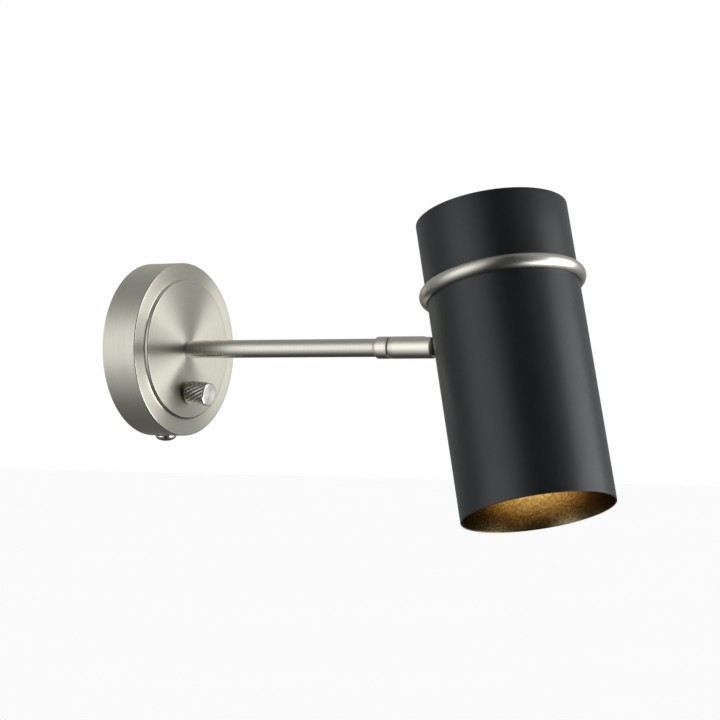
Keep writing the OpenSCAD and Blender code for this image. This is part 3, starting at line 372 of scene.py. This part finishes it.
def shade_colour(finish, factor, stops):
    """Multiplies a finish's colour by greys along a factor."""
    tree = finish.node_tree
    colour = tree.nodes["Principled BSDF"].inputs["Base Color"]
    cover = tree.nodes.new("ShaderNodeVectorMath")
    cover.operation = "MULTIPLY"
    tree.links.new(colour.links[0].from_socket, cover.inputs[0])
    tree.links.new(ramp(tree, factor, stops), cover.inputs[1])
    tree.links.new(cover.outputs[0], colour)


def height_along(tree, position, start, span):
    """How far up a piece a point lies, from 0 at a start over a span, in metres."""
    heights = tree.nodes.new("ShaderNodeSeparateXYZ")
    tree.links.new(position, heights.inputs[0])
    return math_node(tree, "ADD", math_node(tree, "MULTIPLY", heights.outputs[2], 1 / span), -start / span)


satin = {"shine": 0.39, "spread": 0.9, "rings": 700.0, "around": 2.5, "uneven": 0.02}
rubbed = {"dark": (0.62, 0.608, 0.53), "bright": (0.72, 0.705, 0.62), "shine": 0.17, "spread": 0.2}
plate_nickel = brushed_nickel("plate_nickel", out_of_wall, (0.635, 0.622, 0.54),
                              (0.68, 0.665, 0.577), **satin)
edge_nickel = brushed_nickel("edge_nickel", out_of_wall, **rubbed)
shaded_riser_nickel = brushed_nickel("shaded_riser_nickel", out_of_wall, **rubbed)
# Painted shade: the step's riser gets the rubbed nickel darkened towards the bottom of the step.
tree = shaded_riser_nickel.node_tree
shade_colour(shaded_riser_nickel, height_along(tree, position_on(tree), -0.05, 0.1),
             [(0.10, 0.22), (0.36, 1.0)])        # painted shade: the riser's colour is darkened towards the step's lower half
# Painted light: the side wall gets a lighter copy of the plate's nickel, so that it reads brighter.
lit_side_nickel = brushed_nickel("lit_side_nickel", out_of_wall, (0.73, 0.715, 0.62),
                             (0.78, 0.765, 0.664), **satin)
for finish in (plate_nickel, edge_nickel, shaded_riser_nickel, lit_side_nickel):
    wall_plate.data.materials.append(finish)
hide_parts("wall_plate")
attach(wall_plate, "wall_base")

# Side screw: a domed, polished steel screw under the plate at six o'clock, with a driver slot.
# It pulls the plate onto the bracket's lower ear.


def block(size, centre, placed=None):
    """A square cutter of a size about a centre, in millimetres, set in place."""
    deselect()
    bpy.ops.mesh.primitive_cube_add(size=1, location=[c * mm for c in centre], scale=[s * mm for s in size])
    tool = bpy.context.object
    bpy.ops.object.transform_apply(location=True, rotation=True, scale=True)
    if placed is not None:
        tool.data.transform(placed)
    return tool


head_r, head_h, head_rim, shank_r, shank_l, shank_tip = 7.35, 3.8, 0.2, 2, 9, 1.6
slot_w, slot_depth, slot_turn = 1.1, 1, -31
outline = [(0, -shank_l), (shank_tip, -shank_l), (shank_r, 0.5 - shank_l), (shank_r, 0),
           (head_r - head_rim, 0)]
outline += [(x, head_rim + z * (head_h - head_rim) / head_r) for x, z in arc(0, 0, head_r, 0, 90, 18)]
side_screw = turned("side_screw_head", outline, 96)
cut_with(side_screw, block((slot_w, 20, 2 * slot_depth), (0, 0, head_h),
                           Matrix.Rotation(math.radians(slot_turn), 4, "Z")))
finish_piece(side_screw, at_side_screw, 30)
polished = mottled("polished_screw", (300, 3, [(0.3, (0.74, 0.73, 0.71)), (0.7, (0.83, 0.82, 0.80))]),
                   (1500, 3, [(0.3, 0.08), (0.7, 0.16)]), Metallic=1.0)
side_screw.data.materials.append(polished)
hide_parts("side_screw")
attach(side_screw, "wall_base")

# Rod: a straight drawn tube, 12 mm across, nickel plated and brushed. Its inner end is screwed onto a
# nipple behind the wall plate, and its outer end is soldered into the collar.

rod_r, rod_t, rod_start, rod_end, rod_bevel, rod_rows = 6.1, 1, 30, 189.8, 0.4, 8
bore_r = rod_r - rod_t
outline = [(bore_r, rod_start), (rod_r - rod_bevel, rod_start), (rod_r, rod_start + rod_bevel)]
outline += [(rod_r, rod_start + (rod_end - rod_start) * i / rod_rows) for i in range(1, rod_rows)]
outline += [(rod_r, rod_end), (bore_r, rod_end), (bore_r, rod_start)]
rod = turned("rod_tube", outline, 72)
lay_brush_lines(rod)
finish_piece(rod, out_of_wall)
rod.data.materials.append(brushed_nickel("rod_nickel", out_of_wall,
                                         (0.598, 0.586, 0.514), (0.622, 0.61, 0.535), 0.27))
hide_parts("arm_tube")
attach(rod, "wall_base")

# Collar: a fixed turned sleeve on the rod's outer end, bevelled towards the rod.
# The shouldered bolt and the stop pin go through its web.

joint_r, collar_start, collar_end, edge, web_hole_r = 7.4, 181.2, 192.3, 0.4, 4
bevel_l, bevel_end = 1.35, 1.65
outline = [(rod_r, collar_start), (rod_r + 0.1, collar_start), (joint_r - 0.12, collar_start + bevel_l)]
outline += [(joint_r, z) for z in (collar_start + bevel_end, collar_start + 4, collar_end - 4,
                                   collar_end - edge - 0.1)]
outline += [(joint_r - 0.1, collar_end - edge + 0.15), (joint_r - edge, collar_end)]
outline += [(web_hole_r, collar_end), (web_hole_r, rod_end), (rod_r, rod_end), (rod_r, collar_start)]
collar = turned("collar_sleeve", outline, 96)
lay_brush_lines(collar)
for face in collar.data.polygons:
    height, reach = face.center.z / mm, face.center.xy.length / mm
    on_rod_bevel = height < collar_start + bevel_end and reach > rod_r + 0.05
    on_front_bevel = height > collar_end - edge - 0.15 and reach > joint_r - edge
    face.material_index = 1 if on_rod_bevel or on_front_bevel else 0
finish_piece(collar, out_of_wall, 25)
joint_nickel = brushed_nickel("joint_nickel", out_of_wall, (0.657, 0.644, 0.564),
                              (0.683, 0.669, 0.586), 0.22)
# Painted highlight: the collar's bevels get a lighter copy of the joint's nickel; its higher roughness also
# blurs their glints.
lit_bevel_nickel = brushed_nickel("lit_bevel_nickel", out_of_wall, (0.70, 0.685, 0.61),
                              (0.74, 0.725, 0.645), 0.58, 0.9)
collar.data.materials.append(joint_nickel)
collar.data.materials.append(lit_bevel_nickel)
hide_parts("joint_collar")
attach(collar, "wall_base")

# Stop pin and grub screw: small hardened steel pieces with a black oxide skin. The pin is pressed into
# the collar and stops the barrel after nearly one turn, and the screw holds the knob.

oxide = mottled("black_oxide", (700, 3, [(0.3, (0.020, 0.020, 0.022)), (0.7, (0.05, 0.05, 0.052))]),
                (1200, 3, [(0.3, 0.35), (0.7, 0.55)]), Metallic=1.0)
dress(oxide, "stop_pin knob_grub_screw")

# Swivel washer: a thin dark fibre washer in the groove between the collar and the barrel.
# It is punched from vulcanised fibre sheet, lies loose on the bolt and gives the turn its friction.

fibre = mottled("fibre_washer", (900, 3, [(0.3, (0.010, 0.010, 0.010)), (0.7, (0.03, 0.028, 0.026))]),
                (400, 2, [(0.3, 0.6), (0.7, 0.8)]))
dress(fibre, "swivel_washer")

# Barrel: a turned sleeve that swivels on the bolt and holds the ball's seat.
# Its nose is rounded, and a slot milled in one side lets the ball's neck swing.

swivel_angle, pivot_reach = 10.3, 221.1
barrel_start, barrel_end, nose_round, web_t, bolt_hole_r = 192.8, 226.9, 3.6, 2.6, 4.08
seat_ball_r, mouth_r, slot_half, slot_shift, slot_reach = 5.65, 4.9, 3.9, -0.3, 10
swivelled = Matrix.Rotation(math.radians(swivel_angle), 4, "Y") @ out_of_wall
web_z = barrel_start + web_t
outline = [(bolt_hole_r, barrel_start), (joint_r - edge, barrel_start)]
outline += [(joint_r - 0.1, barrel_start + edge - 0.15), (joint_r, barrel_start + edge + 0.1)]
outline += [(joint_r, barrel_start + z) for z in (5, 12, 20)]
nose_turn = math.degrees(math.acos((mouth_r - joint_r + nose_round) / nose_round))
outline += arc(joint_r - nose_round, barrel_end - nose_round, nose_round, 0, nose_turn, 12)
outline += arc(0, pivot_reach, seat_ball_r, math.degrees(math.acos(mouth_r / seat_ball_r)), 0, 6)
outline += [(seat_ball_r, web_z), (bolt_hole_r, web_z), (bolt_hole_r, barrel_start)]
barrel = turned("barrel_sleeve", outline, 96)
slot_middle = pivot_reach + slot_shift
across_barrel = Matrix.Translation((0, 0, slot_middle * mm)) @ Matrix.Rotation(math.radians(-90), 4, "X")
cut_with(barrel, drill(slot_half, 0, slot_reach, across_barrel))
cut_with(barrel, block((2 * slot_half, slot_reach, 10), (0, slot_reach / 2, slot_middle + 5)))
lay_brush_lines(barrel)
finish_piece(barrel, swivelled, 25)
barrel.data.materials.append(joint_nickel)
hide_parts("swivel_barrel")
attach(barrel, "barrel")

# Ball stem: a hollow steel ball on a short neck with a shoulder, polished and nickel plated. It is clamped
# in the barrel's seat by the spring and cup, and its thread holds the shade and the lampholder's strap.

stem_nickel = mottled("stem_nickel", (400, 3, [(0.3, (0.60, 0.585, 0.55)), (0.7, (0.72, 0.70, 0.66))]),
                      (1600, 3, [(0.3, 0.16), (0.7, 0.28)]), Metallic=1.0)
dress(stem_nickel, "ball_stem")

# Ceramic insert of the lampholder: glazed white steatite that carries the contacts.
# It is pressed, fired and glazed, and sits in the dark sleeve under the holder's cap.

glaze = mottled("glazed_ceramic", (120, 3, [(0.3, (0.80, 0.77, 0.71)), (0.7, (0.88, 0.86, 0.81))]),
                (700, 2, [(0.3, 0.20), (0.7, 0.34)]), Coat_Weight=0.5)
dress(glaze, "holder_insert")

# Bulb: a round opal glass globe on a screw cap, lit warm.
# The coating inside the glass spreads the light, so the globe glows a little less near its neck.

shade_r, shade_t, shade_above, shade_below, tilt_angle, stem_l = 49.65, 1, 74.2, 125.6, 15, 58.55
in_shade = (Matrix.Translation((0, -pivot_reach * mm, 0))
            @ Matrix.Rotation(math.radians(swivel_angle), 4, "Y")
            @ Matrix.Rotation(math.radians(-tilt_angle), 4, "X") @ Matrix.Translation((0, -stem_l * mm, 0)))
bulb_r, bulb_l, glass_top, neck_r, neck_in, neck_steps = 30, 80, -12, 12.4, 5, 12
globe_z = glass_top - bulb_l + bulb_r
outline = arc(0, globe_z, bulb_r, -90, 35, 30)
outline[0] = (0, outline[0][1])
curve_start, curve_end = outline[-1], (neck_r, glass_top - 2)
curve_pull = (neck_r + 1.4, globe_z + bulb_r * 1.02)
for t in [i / neck_steps for i in range(1, neck_steps + 1)]:
    outline.append(tuple((1 - t) ** 2 * a + 2 * t * (1 - t) * b + t * t * c
                         for a, b, c in zip(curve_start, curve_pull, curve_end)))
outline += [(neck_r, glass_top + neck_in), (0, glass_top + neck_in)]
globe = turned("bulb_globe_glass", outline, 96)
finish_piece(globe, in_shade, 60)
opal, tree, shader = new_finish("opal_glass", Base_Color=(0.95, 0.90, 0.80, 1), Roughness=0.25,
                                Coat_Weight=0.6, Emission_Strength=1.1)
up_globe = height_along(tree, position_on(tree, in_shade), (glass_top - bulb_l) * mm, bulb_l * mm)
glow = ramp(tree, up_globe, [(0.0, (1.0, 0.85, 0.52)), (0.65, (1.0, 0.81, 0.47)), (1.0, (0.55, 0.36, 0.16))])
tree.links.new(glow, shader.inputs["Emission Color"])
globe.data.materials.append(opal)
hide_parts("bulb_globe")
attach(globe, "lamp_head")

# Shade: a cylinder rolled from 1 mm sheet, with smooth rounded edges.
# Outside it has a fine matt black enamel, and inside a coarse gold paint with a hammered grain.

inner_r, lip, shade_rows, stem_hole_r = shade_r - shade_t, 0.35, 8, 4.1
shade_l = shade_above + shade_below
outline = [(inner_r + 0.5, shade_above)] + arc(shade_r - lip, shade_above - lip, lip, 90, 0, 4)
outline += [(shade_r, shade_above - shade_l * i / shade_rows) for i in range(1, shade_rows)]
outline += arc(shade_r - lip, -shade_below + lip, lip, 0, -90, 4)
outline += arc(inner_r + lip, -shade_below + lip, lip, 270, 180, 4)
outline += [(inner_r, -shade_below + shade_l * i / shade_rows) for i in range(1, shade_rows)]
outline += arc(inner_r + lip, shade_above - lip, lip, 180, 90, 4) + [(inner_r + 0.5, shade_above)]
shade = turned("shade_cylinder", outline, 192)
cut_with(shade, drill(stem_hole_r, 45, 53, Matrix.Rotation(math.radians(-90), 4, "X")))
for face in shade.data.polygons:
    inside = math.hypot(face.center.x, face.center.y) < (inner_r + 0.12) * mm
    face.material_index = 1 if inside else 0
finish_piece(shade, in_shade, 50)
enamel = mottled("black_enamel", (60, 3, [(0.3, (0.0055, 0.0063, 0.0072)), (0.7, (0.0075, 0.0085, 0.0096))]),
                 (500, 4, [(0.3, 0.34), (0.7, 0.40)]), (3200, 3, 0.00003), in_shade,
                 Specular_IOR_Level=0.57, Specular_Tint=(0.92, 0.97, 1.0, 1))
gold, tree, shader = new_finish("gold_paint", Metallic=1.0)
spot = position_on(tree, in_shade)
blotch = noise(tree, spot, 560, 5, 0.65)
tree.links.new(ramp(tree, blotch, [(0.30, (0.36, 0.28, 0.155)), (0.50, (0.60, 0.48, 0.28)),
                                   (0.70, (0.86, 0.72, 0.46))]), shader.inputs["Base Color"])
# Painted shade: the gold's colour is halved at the mouth and reaches full strength a little way up.
shade_colour(gold, height_along(tree, spot, -shade_below * mm, 0.2),
             [(0.0, 0.5), (0.13, 1.0)])        # painted shade: the gold is darkened towards the mouth
tree.links.new(ramp(tree, noise(tree, spot, 700, 3), [(0.3, 0.12), (0.7, 0.20)]), shader.inputs["Roughness"])
bump(tree, shader, blotch, 0.00008)
shade.data.materials.append(enamel)
shade.data.materials.append(gold)
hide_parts("shade_tube")
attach(shade, "lamp_head")

# Shade cap: a pressed disc with a turned down flange, let in just below the shade's upper edge.
# A ring of punched holes lets the lamp's heat out.

cap_z, cap_flange, cap_t, cap_round, inner_round = 71.7, 6, 1, 0.9, 0.4
cap_r, cap_low = inner_r - 0.05, cap_z - cap_t
vent_circle, vent_r, vents = 30, 2.5, 12
flange_z, flange_in = cap_z - cap_flange, cap_r - cap_t
outline = [(r, cap_z) for r in (0, 15, 30, 42)]
outline += arc(cap_r - cap_round, cap_z - cap_round, cap_round, 90, 0, 6)
outline += [(cap_r, flange_z + 0.2), (cap_r - 0.2, flange_z), (flange_in, flange_z)]
outline += [(flange_in, cap_low - inner_round), (flange_in - inner_round, cap_low)]
outline += [(30, cap_low), (0, cap_low)]
cap = turned("shade_cap_disc", outline, 144)
for i in range(vents):
    turn = Matrix.Rotation(2 * math.pi * i / vents, 4, "Z") @ Matrix.Translation((vent_circle * mm, 0, 0))
    cut_with(cap, drill(vent_r, cap_z - 3, cap_z + 2, turn, 32))
for face in cap.data.polygons:
    looks_down = face.normal.z < -0.5
    under_middle = (math.hypot(face.center.x, face.center.y) < 29 * mm and face.normal.z < 0.5
                    and face.center.z < (cap_z - 0.9) * mm)
    face.material_index = 1 if looks_down or under_middle else 0
finish_piece(cap, in_shade, 40)
cap.data.materials.append(enamel)
cap.data.materials.append(gold)
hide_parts("shade_cap")
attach(cap, "lamp_head")

# Shade ring: half round nickel plated bar bent to a hoop, brushed along its length.
# It is soldered at the back, pushed over the shade from above and held by its own spring.

ring_r, ring_z, ring_flat = 4.8, 24.8, 0.15
ring_foot = (shade_r, ring_z - ring_r + ring_flat)
outline = [ring_foot] + arc(shade_r, ring_z, ring_r, -88, 88, 28)
outline += [(shade_r, ring_z + ring_r - ring_flat), ring_foot]
ring = turned("shade_ring_hoop", outline, 192)
lay_brush_lines(ring)
finish_piece(ring, in_shade, 50)
ring.data.materials.append(brushed_nickel("ring_nickel", in_shade,
                                          (0.632, 0.619, 0.548), (0.658, 0.644, 0.571), 0.33))
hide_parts("shade_ring")
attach(ring, "lamp_head")

# Dimmer knob: a turned brass knob with a diamond knurl, a polished bevel and a satin face, nickel plated.
# A recess behind it clears the dimmer's nut, and a grub screw locks it to the shaft.

knob_r, knob_l, knob_gap, knob_bevel = 8.15, 16.8, 1.4, 0.8
knurl_starts, knurl_teeth, knurl_rows, knurl_twist, knurl_depth, cross_share = 17, 16, 40, 3.2, 0.42, 0.4
recess_r, recess_top, shaft_bore_r, front_t, grub_hole_r = 6.4, 4.7, 3, 4, 1.5
knob_top = knob_gap + knob_l
band_start, band_end = knob_gap + 0.6, knob_top - 1.1
outline = [(recess_r, knob_gap), (knob_r - 0.7, knob_gap), (knob_r - knurl_depth, knob_gap + 0.2)]
outline += [(knob_r, band_start + (band_end - band_start) * i / knurl_rows) for i in range(knurl_rows + 1)]
outline += [(knob_r - knurl_depth, band_end + 0.1), (knob_r - 0.1, band_end + 0.15)]
outline += [(knob_r, band_end + 0.25), (knob_r, knob_top - 0.42)]
outline += [(knob_r - 0.05, knob_top - 0.37), (knob_r - 0.72, knob_top - 0.02)]
outline += [(r, knob_top) for r in (knob_r - knob_bevel, 6, 4, 2, 0)]
outline += [(0, knob_top - front_t), (shaft_bore_r, knob_top - front_t)]
outline += [(shaft_bore_r, recess_top), (recess_r, recess_top), (recess_r, knob_gap)]
knob = turned("knob_knurled", outline, knurl_starts * knurl_teeth)
row_height = (band_end - band_start) * mm / knurl_rows
for point in knob.data.vertices:
    row = point.co.z / row_height - band_start * mm / row_height
    if point.co.xy.length < (knob_r - 0.01) * mm or not -0.1 < row < knurl_rows + 0.1:
        continue
    column = math.atan2(point.co.y, point.co.x) / (2 * math.pi) * knurl_starts
    climb = (point.co.z - band_start * mm) / row_height / knurl_rows * knurl_twist
    tooth, cross_tooth = [1 - abs(2 * ((column + way * climb) % 1) - 1) for way in (1, -1)]
    cut = max(1 - min(1, 1.25 * tooth), cross_share * (1 - min(1, 2 * cross_tooth)))
    point.co.xy *= 1 - knurl_depth / knob_r * cut
grub_place = Matrix.Translation((0, 0, (knob_gap + 8) * mm)) @ Matrix.Rotation(math.radians(90), 4, "Y")
cut_with(knob, drill(grub_hole_r, 0, 10, grub_place, 32))
knurl_part, face_part, bevel_part = range(3)
for face in knob.data.polygons:
    reach = math.hypot(face.center.x, face.center.y)
    bevelled = face.center.z > (knob_top - 0.45) * mm and reach > (knob_r - 0.78) * mm
    on_face = face.normal.z > 0.98 and face.center.z > (knob_top - 0.1) * mm
    face.material_index = bevel_part if bevelled else face_part if on_face else knurl_part
lay_brush_lines(knob)
finish_piece(knob, at_knob, 18)
# Painted shade: the knurled band gets a darker copy of the nickel.
shaded_knurl_nickel = mottled("shaded_knurl_nickel", (500, 4, [(0.3, (0.40, 0.385, 0.34)), (0.7, (0.60, 0.58, 0.52))]),
                       (1400, 3, [(0.3, 0.22), (0.7, 0.38)]), placed=at_knob, Metallic=1.0)
# Painted light: the knob's face gets a much lighter copy of the nickel, a painted highlight on the face.
lit_face_nickel = brushed_nickel("knob_face_nickel", at_knob, (0.84, 0.83, 0.76), (0.92, 0.91, 0.84), 0.34,
                             rings=1500.0, around=2.5, uneven=0.03)
for finish in (shaded_knurl_nickel, lit_face_nickel, polished):
    knob.data.materials.append(finish)
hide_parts("knob")
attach(knob, "dimmer_knob")

# Leads: stranded copper in coloured insulation, from the terminal block through the rod to the lampholder.
# The insulation is extruded and soft, with a slight sheen: brown is live, blue neutral and green earth.


def insulation(name, deep, light):
    """Soft coloured insulation with a slight sheen."""
    return mottled(name, (260, 3, [(0.3, deep), (0.7, light)]), (900, 2, [(0.3, 0.36), (0.7, 0.52)]),
                   Sheen_Weight=0.15)


brown = insulation("brown_insulation", (0.13, 0.055, 0.025), (0.19, 0.085, 0.04))
dress(brown, "supply_lead switched_lead swivel_leads shade_leads")
dress(insulation("blue_insulation", (0.015, 0.06, 0.30), (0.03, 0.10, 0.42)), "neutral_lead")
dress(insulation("green_insulation", (0.05, 0.26, 0.03), (0.10, 0.36, 0.05)), "earth_lead shade_earth_lead")

# Studio: a pale floor far below the sconce, one soft box at the right and a soft sky with a brighter patch
# at the left. The sky is dim behind the camera, which gives the round pieces their dark middle, and the
# camera stands as the photographer did.

deselect()
bpy.ops.mesh.primitive_plane_add(size=60, location=(0, 0, -1.5))
floor = bpy.context.object
floor.name = "floor"
floor.visible_glossy = False
pale, tree, shader = new_finish("pale_floor", Roughness=0.9, Emission_Color=(1, 1, 1, 1),
                                Emission_Strength=0.6)
tree.links.new(ramp(tree, noise(tree, position_on(tree), 0.4, 2), [(0.3, 0.92), (0.7, 0.95)]),
               shader.inputs["Base Color"])
floor.data.materials.append(pale)

light = bpy.data.lights.new("right_box", "AREA")
light.shape = "RECTANGLE"
light.size, light.size_y = 1.0, 1.9
light.energy = 2.1 * math.pi * light.size * light.size_y
right_box = bpy.data.objects.new("right_box", light)
bpy.context.scene.collection.objects.link(right_box)
shade_middle = Vector((0, -0.28, 0))
right_box.location = shade_middle + Vector((0.35, -0.91, -0.22))
right_box.rotation_euler = (shade_middle - right_box.location).to_track_quat("-Z", "Z").to_euler()
right_box.visible_camera = False

world = bpy.data.worlds.new("studio")
bpy.context.scene.world = world
world.use_nodes = True
tree = world.node_tree
ray = tree.nodes.new("ShaderNodeTexCoord").outputs["Generated"]


def along(direction):
    """How far a ray of light leans towards a direction."""
    node = tree.nodes.new("ShaderNodeVectorMath")
    node.operation = "DOT_PRODUCT"
    node.inputs[1].default_value = direction
    tree.links.new(ray, node.inputs[0])
    return node.outputs["Value"]


def by_degrees(angle, full_turn, stops):
    """A brightness that changes with an angle, given as (degrees, brightness) pairs."""
    place = math_node(tree, "ADD", math_node(tree, "MULTIPLY", angle, 1 / math.radians(full_turn)), 0.5)
    return ramp(tree, place, [(degrees / full_turn + 0.5, brightness) for degrees, brightness in stops])


def glowing_patch(turn_stops, rise_stops):
    """A part of the sky: its brightness by turn times its brightness by rise."""
    return math_node(tree, "MULTIPLY", by_degrees(turn, 360, turn_stops), by_degrees(rise, 180, rise_stops))


# The turn is measured from behind the camera towards the picture's right, and the rise from level.
to_camera, to_picture_right = (-0.858, -0.514, 0), (0.514, -0.858, 0)
turn = math_node(tree, "ARCTAN2", along(to_picture_right), along(to_camera))
rise = math_node(tree, "ARCSINE", along((0, 0, 1)))
room = glowing_patch([(-180, 0.85), (-100, 0.85), (-60, 1), (-22, 0.3), (-8, 0.1), (16, 0.1),
                      (30, 0.3), (62, 1)],
                     [(-88, 0.10), (-60, 0.20), (-45, 0.27), (-10, 0.36), (30, 0.45), (60, 0.44),
                      (75, 0.30), (88, 0.22)])
left_box = glowing_patch([(-94, 0), (-74, 0.85), (-56, 1), (-38, 0.9), (-17, 0)],
                         [(-66, 0), (-32, 0.45), (-12, 0.9), (8, 1), (24, 0.8), (42, 0.3), (62, 0)])
low_behind = glowing_patch([(-180, 1), (-130, 0.8), (-100, 0), (125, 0), (160, 1)],
                           [(-88, 1), (-35, 1), (-5, 0)])
dimmed = math_node(tree, "SUBTRACT", 1, math_node(tree, "MULTIPLY", low_behind, 0.75))
dimmed_room = math_node(tree, "MULTIPLY", room, dimmed)
sky_glow = math_node(tree, "ADD", dimmed_room, math_node(tree, "MULTIPLY", left_box, 1.2))
sky = tree.nodes["Background"]
tree.links.new(sky_glow, sky.inputs["Color"])
backdrop = set_inputs(tree.nodes.new("ShaderNodeBackground"), Color=(1, 1, 1, 1), Strength=1.0)
path = tree.nodes.new("ShaderNodeLightPath")
blend = tree.nodes.new("ShaderNodeMixShader")
tree.links.new(path.outputs["Is Camera Ray"], blend.inputs[0])
tree.links.new(sky.outputs[0], blend.inputs[1])
tree.links.new(backdrop.outputs[0], blend.inputs[2])
tree.links.new(blend.outputs[0], tree.nodes["World Output"].inputs["Surface"])
bpy.context.scene.view_settings.view_transform = "Standard"

camera_data = bpy.data.cameras.new("camera")
camera_data.lens = 119.26
camera_data.sensor_width = 36
camera = bpy.data.objects.new("camera", camera_data)
bpy.context.scene.collection.objects.link(camera)
camera.location = (-1.3592, -0.9827, -0.0220)
camera.rotation_euler = (math.radians(90.5055), 0, math.radians(-59.067))
bpy.context.scene.camera = camera
